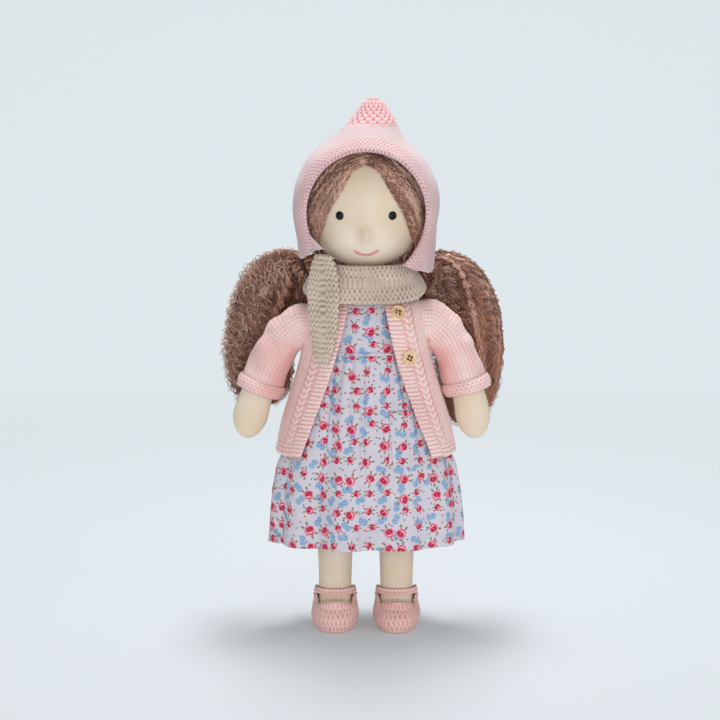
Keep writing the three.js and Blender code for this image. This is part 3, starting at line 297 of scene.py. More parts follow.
def square_to(tangents):
    """Two directions square to each tangent: sideways, and through from front to back."""
    across = unit(np.cross(np.array((0.0, 1.0, 0.0)), tangents))
    return across, np.cross(tangents, across)


def ovals(centres, across, through, half_across, half_through, turns):
    """An oval ring of places round each centre."""
    return (
        centres[:, None]
        + across[:, None] * np.outer(half_across, np.cos(turns))[..., None]
        + through[:, None] * np.outer(half_through, np.sin(turns))[..., None]
    )


def normals_of(points, around=False):
    """The outward normals of a grid of places, whose columns may run all the way round."""
    across = np.gradient(points, axis=1)
    along = np.gradient(points, axis=0)
    if around:
        across[:, 0] = across[:, -1] = (points[:, 1] - points[:, -2]) / 2
    normals = unit(np.cross(across, along))
    middles = points.mean(axis=1, keepdims=True)
    if (normals * (points - middles)).sum() < 0:
        normals = -normals
    return normals


def moved_out(points, normals, by):
    """Places moved along their normals, each by its own number of millimetres."""
    return points + normals * by[..., None]


def distances(points, axis):
    """How far each place is from the first one of its line."""
    steps = np.linalg.norm(np.diff(points, axis=axis), axis=-1)
    first = np.zeros_like(np.take(steps, [0], axis=axis))
    return np.concatenate([first, np.cumsum(steps, axis=axis)], axis=axis)


def lengths(points, axis):
    """How far along the grid each place is, averaged over the other way."""
    steps = np.linalg.norm(np.diff(points, axis=axis), axis=-1)
    mean = steps.mean(axis=1 - axis)
    return np.concatenate([[0.0], np.cumsum(mean)])


def turned_in(points, normals, edge, radius, count):
    """A grid with one edge rolled under itself: edge is first_row, last_row, first_column or last_column."""
    flip = edge.startswith("last")
    by_column = edge.endswith("column")
    grid = np.swapaxes(points, 0, 1) if by_column else points
    facing = np.swapaxes(normals, 0, 1) if by_column else normals
    if flip:
        grid, facing = grid[::-1], facing[::-1]
    outwards = unit(grid[0] - grid[1])
    radius = np.reshape(radius, (-1, 1))
    added = []
    for turn in np.linspace(0, math.pi * 1.1, count + 1)[1:]:
        added.append(grid[0] + radius * (math.sin(turn) * outwards + (math.cos(turn) - 1) * facing[0]))
    grid = np.concatenate([np.array(added[::-1]), grid])
    if flip:
        grid = grid[::-1]
    return np.swapaxes(grid, 0, 1) if by_column else grid


def longer(values, before=0, after=0, left=0, right=0):
    """Repeat the edges of a grid of values, for the cloth that is rolled under them."""
    return np.pad(values, [(before, after), (left, right)] + [(0, 0)] * (values.ndim - 2), mode="edge")


def wobble(points, size, seed):
    """A smooth, repeatable unevenness of about -1 to 1 over places in millimetres."""
    rng = np.random.default_rng(SEED + seed)
    total = 0
    for _ in range(6):
        wave = rng.normal(size=3) / size
        total = total + np.sin(points @ wave + rng.uniform(0, 2 * math.pi))
    return total / 6**0.5


# Stitches: how proud the wool stands, from 0 in a hollow to 1 on a crest, over counts of stitches and rows


def counts(cloth, stitch, row):
    """How many stitches and rows into a cloth its places lie, from the width and height of a stitch."""
    return cloth[..., 0] / stitch, cloth[..., 1] / row


def stocking(stitch, row):
    """Columns of V stitches, each column a soft rib."""
    aside = np.abs(stitch - np.floor(stitch) - 0.5) * 2
    rib = np.cos(0.5 * math.pi * aside) ** 0.45
    strand = 0.5 + 0.5 * np.cos(2 * math.pi * (row + 0.6 * aside))
    return rib * (0.42 + 0.58 * strand**0.7) * (1 - 0.3 * bell(aside, 0.16))


def garter(stitch, row, beads=0.3):
    """Ridges of purl bumps that lock into each other."""
    wave = row + 0.1 * np.cos(2 * math.pi * stitch)
    ridge = np.abs(np.sin(math.pi * wave)) ** 0.8
    bump = 1 - 0.5 * beads + 0.5 * beads * np.cos(2 * math.pi * (stitch + 0.5 * np.floor(wave)))
    return ridge * bump


def feather(aside, along):
    """A column of slanting strands that meet in its middle: aside is from -1 to 1 over its width."""
    strand = (0.5 + 0.5 * np.cos(2 * math.pi * (along / 4.4 + 0.7 * np.abs(aside)))) ** 0.7
    return (0.25 + 0.75 * strand) * np.sqrt(np.clip(1 - aside**2, 0, 1)) * (1 - 0.5 * bell(aside, 0.12))


def seed_stitch(stitch, row):
    """Bumps in a chequer."""
    return (0.5 + 0.5 * np.cos(2 * math.pi * stitch) * np.cos(math.pi * row)) ** 0.85


def uneven(cloth, points, reach, seed):
    """Positions on the cloth, moved a little so that no two stitches are alike."""
    moved = cloth.copy()
    moved[..., 0] += reach * wobble(points, 4.5, seed)
    moved[..., 1] += reach * wobble(points, 5.5, seed + 1)
    return moved


def crochet(stitch, row):
    """Rows of upright posts, each row with a chain along its foot."""
    inside = row - np.floor(row)
    post = np.abs(np.cos(math.pi * (stitch + 0.5 * np.floor(row) + 0.12 * inside)))
    chain = bell(inside, 0.16) + bell(inside - 1, 0.16)
    beads = 0.6 + 0.4 * np.abs(np.cos(math.pi * (stitch + row * 0.3)))
    return np.clip(np.maximum(post**0.7 * np.sin(math.pi * inside) ** 0.35 * 0.85, chain * beads), 0, 1)


# Meshes


def metres(points):
    placed = np.array(points, float).reshape(-1, 3)
    placed[:, 1] -= AXIS_FORWARD
    return placed * 0.001


def choose(piece):
    bpy.ops.object.select_all(action="DESELECT")
    piece.select_set(True)
    bpy.context.view_layer.objects.active = piece


def added(name, operator, **settings):
    """Add an object with a Blender operator, and name it."""
    bpy.ops.object.select_all(action="DESELECT")
    operator(**settings)
    piece = bpy.context.active_object
    piece.name = name
    return piece


def settle(piece):
    """Turn a piece's own place, turn and scale into its mesh."""
    choose(piece)
    bpy.ops.object.transform_apply(location=True, rotation=True, scale=True)


def edit(piece, *steps, kind="VERT", chosen=None):
    """Run steps of edit mode on all of a piece's mesh, or on its chosen places (VERT) or faces (FACE)."""
    choose(piece)
    bpy.ops.object.mode_set(mode="EDIT")
    bpy.ops.mesh.select_mode(type=kind)
    bpy.ops.mesh.select_all(action="SELECT" if chosen is None else "DESELECT")
    if chosen is not None:
        bpy.ops.object.mode_set(mode="OBJECT")
        parts = piece.data.vertices if kind == "VERT" else piece.data.polygons
        parts.foreach_set("select", chosen)
        bpy.ops.object.mode_set(mode="EDIT")
    for step in steps:
        step()
    bpy.ops.object.mode_set(mode="OBJECT")


def places_of(piece):
    """The places of a piece's mesh in the CAD source's millimetres."""
    places = np.empty(len(piece.data.vertices) * 3)
    piece.data.vertices.foreach_get("co", places)
    return places.reshape(-1, 3) * 1000 + (0, AXIS_FORWARD, 0)


def mark(mesh, label, values):
    """Give each place of a mesh its own value of an attribute."""
    layer = mesh.attributes.new(label, "FLOAT", "POINT")
    layer.data.foreach_set("value", values.astype(np.float32).ravel())


def spread(name, points, cloth=None, relief=None, closed=False):
    """Lay a grid primitive over rows and columns of places, and weld the seams where they meet.

    cloth gives each place's position on the flat cloth in millimetres, for its UV map.
    """
    rows, columns = points.shape[:2]
    across, along = np.gradient(points, axis=1), np.gradient(points, axis=0)
    middles = points.mean(axis=1, keepdims=True)
    if (np.cross(across, along) * (points - middles)).sum() < 0:
        points = points[:, ::-1]
        cloth = None if cloth is None else cloth[:, ::-1]
        relief = None if relief is None else relief[:, ::-1]
    faces = {"x_subdivisions": columns - 1, "y_subdivisions": rows - 1}
    piece = added(name, bpy.ops.mesh.primitive_grid_add, size=1, **faces)
    mesh = piece.data
    mesh.name = name
    if len(mesh.vertices) != rows * columns:
        raise RuntimeError(f"{name}: the grid has {len(mesh.vertices)} places and not {rows * columns}")
    mesh.vertices.foreach_set("co", metres(points).ravel())
    if cloth is not None:
        corner = np.empty(len(mesh.loops), int)
        mesh.loops.foreach_get("vertex_index", corner)
        flat = np.asarray(cloth, float).reshape(-1, 2)[corner] * 0.001
        mesh.uv_layers.active.data.foreach_set("uv", flat.ravel())
    if relief is not None:
        mark(mesh, "relief", np.clip(relief, 0, 1))
    mesh.update()
    edit(piece, lambda: bpy.ops.mesh.remove_doubles(threshold=2e-6))
    if closed:
        edit(piece, lambda: bpy.ops.mesh.normals_make_consistent(inside=False))
    bpy.ops.object.shade_smooth()
    return piece


def flat_places(points):
    """Each place's position on the flat cloth, in millimetres, from the lengths of the grid's lines."""
    across, along = lengths(points, 1), lengths(points, 0)
    return np.stack(np.meshgrid(across, along), axis=-1)


MATERIALS = {}


def cover(piece, material):
    piece.data.materials.clear()
    piece.data.materials.append(material)


def finish(piece, body, look, replaced=()):
    """Give a piece its material and say what it stands for and rides on. A piece with no body is not
    attached.
    """
    cover(piece, MATERIALS[look])
    if body:
        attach(piece, body)
    if replaced:
        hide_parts(*replaced)
    return piece


# Sizes and colours that a user would change


def colour(red, green, blue):
    """A colour as it is seen on a screen, from 0 to 255, as Blender's linear one."""
    linear = []
    for level in (red / 255, green / 255, blue / 255):
        linear.append(level / 12.92 if level <= 0.04045 else ((level + 0.055) / 1.055) ** 2.4)
    return (*linear, 1.0)


def colour_setting(name, description, *levels):
    return FloatVectorProperty(
        name=name, description=description, subtype="COLOR", size=4, min=0, max=1, default=colour(*levels)
    )


def length_setting(name, description, value):
    limits = {"min": 0, "soft_max": 0.02}
    return FloatProperty(name=name, description=description, default=value, unit="LENGTH", **limits)


class KnittingSettings(bpy.types.PropertyGroup):
    """Sizes of the doll's knitting"""

    stitch_width: length_setting("Stitch width", "Width of one stitch of the cardigan and the bonnet", 0.0026)
    row_height: length_setting("Row height", "Height of one row of the cardigan and the bonnet", 0.0021)
    relief: length_setting("Relief", "How proud the stitches of the sleeves and the bonnet stand", 0.0007)
    scarf_stitch: length_setting("Scarf stitch", "Width of one stitch of the scarf's band", 0.003)
    scarf_relief: length_setting("Scarf relief", "How proud the scarf's stitches stand", 0.0009)
    crochet_relief: length_setting("Crochet relief", "How proud the shoes' stitches stand", 0.0009)


class HairSettings(bpy.types.PropertyGroup):
    """Sizes of the doll's curls"""

    strands: IntProperty(name="Strands", description="Strands in half of a ponytail", default=664, min=50)
    lock: IntProperty(name="Lock", description="Strands that curl together", default=13, min=1)
    thickness: length_setting("Thickness", "Radius of a strand", 0.00036)
    curl_width: length_setting("Curl width", "How far a curl swings to each side", 0.0019)
    curl_length: length_setting("Curl length", "Length of one curl along the hair", 0.0078)


class DressSettings(bpy.types.PropertyGroup):
    """Size of the dress's print"""

    flower_spacing: length_setting("Flower spacing", "Distance between the print's roses", 0.0118)


class ColourSettings(bpy.types.PropertyGroup):
    """Colours of the doll's cloth, wool, hair and buttons"""

    skin: colour_setting("Skin", "Cotton jersey of the face and limbs", 236, 222, 206)
    mouth: colour_setting("Mouth", "Embroidery thread of the mouth", 238, 162, 164)
    eye: colour_setting("Eye", "The black eyes", 7, 7, 8)
    # The hollow colour of each wool is painted shade in the hollows between its stitches.
    pink: colour_setting("Pink wool", "Crests of the pink knitting", 251, 226, 222)
    pink_hollow_shade: colour_setting("Deep pink wool", "Hollows of the pink knitting", 228, 154, 148)
    bonnet: colour_setting("Bonnet wool", "Crests of the bonnet's knitting", 234, 207, 209)
    # The crown's crests are a darker copy of the band's wool, as painted shade on the bonnet's top under the
    # light from above.
    crown: colour_setting("Crown wool", "Crests of the smooth knitting on the bonnet", 222, 200, 203)
    bonnet_hollow_shade: colour_setting("Deep bonnet wool", "Hollows of the bonnet's knitting", 208, 148, 150)
    tip: colour_setting("Tip wool", "Crests of the bobbles at the bonnet's tip", 248, 206, 208)
    tip_hollow_shade: colour_setting("Deep tip wool", "Hollows between the bobbles at the tip", 234, 148, 156)
    oat: colour_setting("Oat wool", "Crests of the scarf's knitting", 224, 207, 190)
    oat_hollow_shade: colour_setting("Deep oat wool", "Hollows of the scarf's knitting", 140, 118, 98)
    shoe: colour_setting("Shoe wool", "Crests of the shoes' crochet", 254, 213, 206)
    shoe_hollow_shade: colour_setting("Deep shoe wool", "Hollows of the shoes' crochet", 212, 134, 128)
    hair: colour_setting("Hair", "Middle tone of the hair", 166, 114, 96)
    # The dark hair colour also paints the shade of the hair underneath the strands.
    hair_dark: colour_setting("Dark hair", "Darkest strands and the hair underneath", 98, 60, 47)
    hair_light: colour_setting("Light hair", "Lightest strands", 238, 200, 178)
    hair_warm: colour_setting("Warm hair", "Ends of the curls", 208, 142, 110)
    cotton: colour_setting("Cotton", "Ground of the printed dress", 213, 210, 221)
    rose: colour_setting("Rose", "Petals of the print's roses", 214, 76, 112)
    rose_deep: colour_setting("Deep rose", "Hearts of the print's roses", 184, 24, 56)
    leaf: colour_setting("Leaf", "Leaves of the print", 128, 122, 92)
    blue: colour_setting("Blue", "Small blue flowers of the print", 124, 162, 206)
    pants: colour_setting("Underpants", "Plain cotton", 246, 243, 236)
    wood: colour_setting("Wood", "The buttons", 250, 220, 178)
    wood_grain: colour_setting("Wood grain", "Grain of the buttons", 224, 184, 136)
    elastic: colour_setting("Elastic", "The hair ties", 86, 60, 52)
    floor: colour_setting("Floor", "The floor and backdrop", 218, 224, 229)


# Materials


class Nodes:
    """Adds nodes to a material or a node group, from sockets and plain values."""

    def __init__(self, tree):
        self.tree = tree

    def feed(self, socket, value):
        if isinstance(value, bpy.types.NodeSocket):
            self.tree.links.new(value, socket)
        elif value is not None:
            socket.default_value = value

    def add(self, kind, inputs=None, **settings):
        node = self.tree.nodes.new(kind)
        for name, value in settings.items():
            setattr(node, name, value)
        for name, value in (inputs or {}).items():
            self.feed(node.inputs[name], value)
        return node

    def math(self, operation, a, b=None, c=None):
        node = self.add("ShaderNodeMath", operation=operation)
        for socket, value in zip(node.inputs, (a, b, c)):
            self.feed(socket, value)
        return node.outputs[0]

    def plus(self, a, b):
        return self.math("ADD", a, b)

    def minus(self, a, b):
        return self.math("SUBTRACT", a, b)

    def times(self, a, b):
        return self.math("MULTIPLY", a, b)

    def vector(self, operation, a, b=None, scale=None):
        node = self.add("ShaderNodeVectorMath", operation=operation)
        self.feed(node.inputs[0], a)
        self.feed(node.inputs[1], b)
        if scale is not None:
            self.feed(node.inputs["Scale"], scale)
        return node.outputs["Value"] if operation in ("LENGTH", "DISTANCE") else node.outputs["Vector"]

    def mix(self, share, a, b, blend="MIX"):
        node = self.add("ShaderNodeMix", data_type="RGBA", blend_type=blend)
        self.feed(node.inputs[0], share)
        self.feed(node.inputs[6], a)
        self.feed(node.inputs[7], b)
        return node.outputs[2]

    def dimmed(self, tone, level):
        grey = self.add("ShaderNodeCombineColor", {"Red": level, "Green": level, "Blue": level})
        return self.mix(1.0, tone, grey.outputs[0], "MULTIPLY")

    def between(self, value, low, high, to_low=0.0, to_high=1.0):
        node = self.add("ShaderNodeMapRange", clamp=True, interpolation_type="SMOOTHSTEP")
        for socket, given in zip(node.inputs, (value, low, high, to_low, to_high)):
            self.feed(socket, given)
        return node.outputs[0]

    def noise(self, where, scale, detail=3.0, roughness=0.5):
        node = self.add(
            "ShaderNodeTexNoise", {"Vector": where, "Scale": scale, "Detail": detail, "Roughness": roughness}
        )
        return node.outputs["Fac"]

    def bump(self, height, strength, distance, normal=None):
        node = self.add("ShaderNodeBump", {"Strength": strength, "Distance": distance, "Height": height})
        self.feed(node.inputs["Normal"], normal)
        return node.outputs["Normal"]

    def seen_directly(self, plain, direct, output, share=None):
        """Show the shader direct where the camera looks at it, and plain in every other ray."""
        ray = self.add("ShaderNodeLightPath").outputs["Is Camera Ray"]
        both = self.add("ShaderNodeMixShader", {"Fac": ray if share is None else self.times(ray, share)})
        self.tree.links.new(plain.outputs[0], both.inputs[1])
        self.tree.links.new(direct.outputs[0], both.inputs[2])
        self.tree.links.new(both.outputs[0], output.inputs["Surface"])

    def object_place(self):
        return self.add("ShaderNodeTexCoord").outputs["Object"]

    def cloth_place(self):
        return self.add("ShaderNodeTexCoord").outputs["UV"]

    def value_of(self, attribute):
        return self.add("ShaderNodeAttribute", attribute_name=attribute).outputs["Fac"]


def node_group(name, inputs, outputs):
    """A shader node group with named sockets, given as name and kind or as name, kind and value."""
    tree = bpy.data.node_groups.new(name, "ShaderNodeTree")
    kinds = {"value": "NodeSocketFloat", "colour": "NodeSocketColor", "vector": "NodeSocketVector"}
    for label, kind, value in inputs:
        socket = tree.interface.new_socket(name=label, in_out="INPUT", socket_type=kinds[kind])
        if value is not None:
            socket.default_value = value
    for label, kind in outputs:
        tree.interface.new_socket(name=label, in_out="OUTPUT", socket_type=kinds[kind])
    nodes = Nodes(tree)
    return nodes, nodes.add("NodeGroupInput").outputs, nodes.add("NodeGroupOutput").inputs


def group(nodes, name, **inputs):
    """Put a node group into a material."""
    node = nodes.add("ShaderNodeGroup", node_tree=bpy.data.node_groups[name])
    for label, value in inputs.items():
        nodes.feed(node.inputs[label.replace("_", " ")], value)
    return node.outputs


def new_material(name):
    material = bpy.data.materials.new(name)
    material.use_nodes = True
    material.node_tree.nodes.clear()
    return material, Nodes(material.node_tree)


def surface(nodes, colour_value, roughness, normal=None, **constants):
    """The shader of a material. constants are its plain sockets, with _ for a space."""
    shader = nodes.add("ShaderNodeBsdfPrincipled", {"Base Color": colour_value, "Roughness": roughness})
    nodes.feed(shader.inputs["Normal"], normal)
    for label, value in constants.items():
        shader.inputs[label.replace("_", " ")].default_value = value
    output = nodes.add("ShaderNodeOutputMaterial")
    nodes.tree.links.new(shader.outputs["BSDF"], output.inputs["Surface"])


def build_node_groups():
    """The effects that several materials share."""
    nodes, given, made = node_group(
        "Wool",
        [
            ("Place", "vector", None),
            ("Relief", "value", 1),
            ("Crest", "colour", None),
            ("Hollow", "colour", None),
        ],
        [("Colour", "colour"), ("Height", "value")],
    )
    drift = nodes.noise(given["Place"], 60, 2)
    fibre = nodes.noise(given["Place"], 2600, 3, 0.7)
    # Painted shade: the colour runs from the crest colour on the crests to the hollow colour in the hollows,
    # and random patches also lean to the hollow colour.
    lit = nodes.plus(given["Relief"], nodes.times(nodes.minus(drift, 0.5), 0.35))
    shade = nodes.mix(nodes.between(lit, 0.05, 0.75), given["Hollow"], given["Crest"])
    patches = nodes.between(nodes.noise(given["Place"], 22, 1), 0.5, 0.8, 0.0, 0.35)
    shade = nodes.mix(patches, shade, given["Hollow"])
    speck = nodes.between(fibre, 0.3, 0.75, 0.86, 1.07)
    nodes.feed(made["Colour"], nodes.dimmed(shade, speck))
    nodes.feed(made["Height"], fibre)

    nodes, given, made = node_group(
        "Weave",
        [("Place", "vector", None), ("Threads", "value", 2600)],
        [("Height", "value"), ("Shade", "value")],
    )
    warp, weft = [
        nodes.add(
            "ShaderNodeTexWave",
            {"Vector": given["Place"], "Scale": given["Threads"], "Distortion": 0.6, "Detail": 1},
            bands_direction=way,
        ).outputs["Fac"]
        for way in ("X", "Y")
    ]
    cross = nodes.times(warp, weft)
    nodes.feed(made["Height"], cross)
    nodes.feed(made["Shade"], nodes.between(nodes.noise(given["Place"], 45, 3), 0.25, 0.8, 0.93, 1.03))


def wool(name, crest, hollow, tip=None):
    """Knitting wool, with painted shade in the hollows of its stitches. tip is the crest and hollow colours
    of the bobbles at the bonnet's point.
    """
    material, nodes = new_material(name)
    place = nodes.object_place()
    if tip:
        height = nodes.add("ShaderNodeSeparateXYZ", {"Vector": place}).outputs["Z"]
        at_tip = nodes.between(height, 0.3385, 0.3425)
        crest, hollow = nodes.mix(at_tip, crest, tip[0]), nodes.mix(at_tip, hollow, tip[1])
    made = group(nodes, "Wool", Place=place, Relief=nodes.value_of("relief"), Crest=crest, Hollow=hollow)
    normal = nodes.bump(made["Height"], 0.35, 0.0003)
    sheen = {"Sheen_Weight": 0.25, "Sheen_Roughness": 0.6}
    surface(nodes, made["Colour"], 0.92, normal, Specular_IOR_Level=0.2, **sheen)
    return material


def jersey(name, tone):
    """Fine stockinette of cotton: columns too small to see one by one, and a slight unevenness."""
    material, nodes = new_material(name)
    place = nodes.object_place()
    woven = group(nodes, "Weave", Place=place, Threads=520)
    drift = nodes.noise(place, 38, 2)
    deeper = nodes.mix(1.0, tone, (0.93, 0.88, 0.78, 1), "MULTIPLY")
    shade = nodes.mix(nodes.between(drift, 0.35, 0.75), deeper, tone)
    normal = nodes.bump(woven["Height"], 0.16, 0.0002)
    normal = nodes.bump(nodes.noise(place, 900, 2), 0.1, 0.0002, normal)
    surface(nodes, shade, 0.82, normal, Sheen_Weight=0.12, Sheen_Roughness=0.6, Specular_IOR_Level=0.25)
    return material


def curls(name, colours, under=False):
    material, nodes = new_material(name)
    place = nodes.object_place()
    # The hair underneath is darker than the strands, as painted shade under them.
    if under:
        grain = nodes.noise(place, 420, 4, 0.7)
        shade = nodes.mix(nodes.between(grain, 0.4, 0.75), colours.hair_dark, colours.hair)
        surface(nodes, shade, 0.9, nodes.bump(grain, 0.8, 0.002), Specular_IOR_Level=0.1)
        return material
    tone, reach = nodes.value_of("tone"), nodes.value_of("reach")
    patch = nodes.noise(place, 70, 2)
    glint = nodes.noise(place, 1100, 2)
    level = nodes.plus(tone, nodes.times(nodes.minus(patch, 0.5), 0.7))
    level = nodes.plus(level, nodes.times(nodes.minus(glint, 0.5), 0.5))
    shade = nodes.mix(nodes.between(level, 0.05, 0.5), colours.hair_dark, colours.hair)
    shade = nodes.mix(nodes.between(level, 0.45, 0.85), shade, colours.hair_light)
    warm = nodes.times(nodes.between(reach, 0.45, 1.0), 0.55)
    shade = nodes.mix(warm, shade, colours.hair_warm)
    surface(nodes, shade, 0.62, None, Sheen_Weight=0.25, Sheen_Roughness=0.5, Specular_IOR_Level=0.35)
    return material


def print_motif(nodes, where, spacing, randomness):
    """A scattered print: each place's step from its motif's middle, turned at random, in millimetres."""
    cells = nodes.add(
        "ShaderNodeTexVoronoi",
        {"Vector": where, "Scale": 1 / spacing, "Randomness": randomness},
        voronoi_dimensions="2D",
        feature="F1",
    )
    step = nodes.vector("SUBTRACT", where, cells.outputs["Position"])
    step = nodes.vector("SCALE", step, scale=1000.0)
    pick = nodes.add("ShaderNodeSeparateColor", {"Color": cells.outputs["Color"]}).outputs
    turned = nodes.add(
        "ShaderNodeVectorRotate",
        {"Vector": step, "Angle": nodes.times(pick[0], 2 * math.pi)},
        rotation_type="Z_AXIS",
    )
    x, y, _ = nodes.add("ShaderNodeSeparateXYZ", {"Vector": turned.outputs[0]}).outputs
    return x, y, nodes.vector("LENGTH", step), nodes.math("ARCTAN2", y, x), pick


def printed_cotton(name, colours, spacing):
    """Cotton with a common small print: roses with leaves, blue flowers and buds."""
    material, nodes = new_material(name)
    flat = nodes.cloth_place()
    woven = group(nodes, "Weave", Place=flat, Threads=620)
    math_of, plus, minus, times = nodes.math, nodes.plus, nodes.minus, nodes.times
    x, y, radius, turn, pick = print_motif(nodes, flat, spacing, 0.42)
    size = math_of("DIVIDE", radius, nodes.between(pick[1], 0.1, 0.9, 0.72, 1.1))
    scallops = times(0.32, math_of("SINE", times(turn, 5)))
    scallops = plus(scallops, times(0.16, math_of("SINE", times(turn, 11))))
    rose = nodes.between(minus(plus(3.25, scallops), size), -0.12, 0.12)
    off_x, off_y = plus(x, 0.55), plus(y, 0.3)
    off = math_of("SQRT", plus(times(off_x, off_x), times(off_y, off_y)))
    off_turn = math_of("ARCTAN2", off_y, off_x)
    whorl = math_of("SINE", plus(times(off, 3.4), times(off_turn, 2)))
    # A dark heart lies off the middle, with one pale petal beside it and lighter edges on the outer petals.
    petal_edge = nodes.between(plus(minus(size, 2.5), times(whorl, 0.45)), -0.1, 0.4)
    rose_tone = nodes.mix(petal_edge, colours.rose, (0.80, 0.34, 0.46, 1))
    heart = nodes.between(plus(minus(1.75, off), times(whorl, 0.5)), -0.1, 0.25)
    rose_tone = nodes.mix(heart, rose_tone, colours.rose_deep)
    beside = nodes.between(math_of("COSINE", plus(turn, times(whorl, 0.4))), 0.25, 0.6)
    petal = nodes.between(math_of("ABSOLUTE", minus(size, 1.55)), 0.3, 0.62, 1.0, 0.0)
    rose_tone = nodes.mix(times(beside, petal), rose_tone, (0.88, 0.50, 0.59, 1))
    inner = nodes.between(plus(off, times(whorl, -0.3)), 0.35, 0.6, 1.0, 0.0)
    rose_tone = nodes.mix(times(inner, 0.7), rose_tone, (0.82, 0.30, 0.42, 1))

    # Two sprays of narrow leaves stand out from each rose.
    spray = math_of("COSINE", plus(times(turn, 8), 0.7))
    narrow = plus(0.12, times(math_of("ABSOLUTE", minus(size, 4.2)), 0.5))
    leaves = nodes.between(minus(spray, narrow), 0.0, 0.12)
    two_sides = math_of("GREATER_THAN", math_of("COSINE", plus(times(turn, 2), 1.0)), 0.05)
    leaves = times(leaves, two_sides)
    leaf_light = nodes.between(nodes.noise(flat, 900, 1), 0.4, 0.7)
    leaf_tone = nodes.mix(leaf_light, colours.leaf, (0.38, 0.36, 0.23, 1))

    # Blue flowers with frilled petals lie between the roses.
    moved = nodes.vector("ADD", flat, (0.137, 0.093, 0.0))
    _, _, bow_radius, bow_turn, bow_pick = print_motif(nodes, moved, spacing * 1.02, 0.5)
    wings = math_of("POWER", math_of("ABSOLUTE", math_of("COSINE", bow_turn)), 0.8)
    frill = times(0.3, math_of("SINE", times(bow_turn, 13)))
    lobes = plus(plus(1.15, times(2.5, wings)), frill)
    bow = nodes.between(minus(lobes, bow_radius), -0.1, 0.12)
    bow = times(bow, math_of("GREATER_THAN", bow_pick[2], 0.3))
    lace = nodes.noise(flat, 1500, 2, 0.6)
    bow_tone = nodes.mix(nodes.between(lace, 0.45, 0.62), colours.blue, (0.48, 0.61, 0.79, 1))
    bow_tone = nodes.mix(nodes.between(lace, 0.36, 0.43, 1.0, 0.0), bow_tone, (0.13, 0.24, 0.47, 1))

    # Small buds fill what is left of the ground.
    moved = nodes.vector("ADD", flat, (0.31, 0.17, 0.0))
    bx, by, _, _, bud_pick = print_motif(nodes, moved, spacing * 0.36, 0.8)
    across, along = (
        math_of("POWER", math_of("ABSOLUTE", math_of("DIVIDE", way, half)), 2)
        for way, half in ((bx, 0.45), (by, 0.85))
    )
    bud = nodes.between(plus(across, along), 0.75, 1.15, 1.0, 0.0)
    bud = times(bud, math_of("GREATER_THAN", bud_pick[1], 0.5))
    bud_tone = nodes.mix(math_of("GREATER_THAN", bud_pick[2], 0.55), colours.rose_deep, colours.leaf)

    tone = nodes.mix(bud, colours.cotton, bud_tone)
    tone = nodes.mix(bow, tone, bow_tone)
    tone = nodes.mix(leaves, tone, leaf_tone)
    tone = nodes.mix(rose, tone, rose_tone)
    normal = nodes.bump(woven["Height"], 0.12, 0.0001)
    tone = nodes.dimmed(tone, woven["Shade"])
    surface(nodes, tone, 0.85, normal, Sheen_Weight=0.08, Sheen_Roughness=0.5, Specular_IOR_Level=0.25)
    return material


def plain_cotton(name, tone):
    material, nodes = new_material(name)
    woven = group(nodes, "Weave", Place=nodes.object_place(), Threads=620)
    normal = nodes.bump(woven["Height"], 0.2, 0.0002)
    shade = nodes.mix(nodes.between(woven["Shade"], 0.93, 1.03), (0.78, 0.76, 0.72, 1), tone)
    surface(nodes, shade, 0.88, normal, Specular_IOR_Level=0.25)
    return material


def thread(name, tone):
    """Twisted thread, with a fine grain over the piece."""
    material, nodes = new_material(name)
    grain = nodes.noise(nodes.object_place(), 1800, 3, 0.6)
    deeper = nodes.mix(1.0, tone, (0.72, 0.62, 0.62, 1), "MULTIPLY")
    shade = nodes.mix(nodes.between(grain, 0.3, 0.7), deeper, tone)
    surface(nodes, shade, 0.6, nodes.bump(grain, 0.4, 0.0002), Specular_IOR_Level=0.4)
    return material


def pale_wood(name, tone, grain_tone):
    material, nodes = new_material(name)
    place = nodes.object_place()
    stretched = nodes.add("ShaderNodeMapping", {"Vector": place, "Scale": (1.0, 1.0, 7.0)}).outputs[0]
    rings_noise = nodes.noise(stretched, 260, 4, 0.6)
    fine = nodes.noise(stretched, 1400, 3, 0.6)
    shade = nodes.mix(nodes.between(rings_noise, 0.42, 0.66), tone, grain_tone)
    shade = nodes.mix(nodes.between(fine, 0.45, 0.8, 0.0, 0.4), shade, grain_tone)
    # The well is darkened towards the grain colour, and the holes are painted near black as shade.
    inside = nodes.value_of("inside")
    shade = nodes.mix(nodes.between(inside, 0.0, 0.5, 0.0, 0.55), shade, grain_tone)
    shade = nodes.mix(nodes.between(inside, 0.6, 0.95), shade, (0.05, 0.028, 0.014, 1))
    normal = nodes.bump(fine, 0.15, 0.0002)
    surface(nodes, shade, 0.42, normal, Coat_Weight=0.15, Coat_Roughness=0.3)
    return material


def glossy_black(name, tone):
    material, nodes = new_material(name)
    scuff = nodes.noise(nodes.object_place(), 900, 3)
    normal = nodes.bump(scuff, 0.05, 0.0001)
    surface(nodes, tone, nodes.between(scuff, 0.3, 0.7, 0.16, 0.26), normal, Specular_IOR_Level=0.3)
    return material


def backdrop_paper(name, tone, glow, share):
    """Pale paper that takes the doll's shadow. Seen directly, it also glows a little, to look even."""
    material, nodes = new_material(name)
    paper = nodes.add("ShaderNodeBsdfDiffuse", {"Color": tone})
    even = nodes.add("ShaderNodeEmission", {"Color": glow, "Strength": 1.0})
    away = nodes.vector("LENGTH", nodes.object_place())
    far = nodes.times(nodes.between(away, 0.25, 1.2, 0.25, 1.0), share)
    nodes.seen_directly(paper, even, nodes.add("ShaderNodeOutputMaterial"), far)
    return material


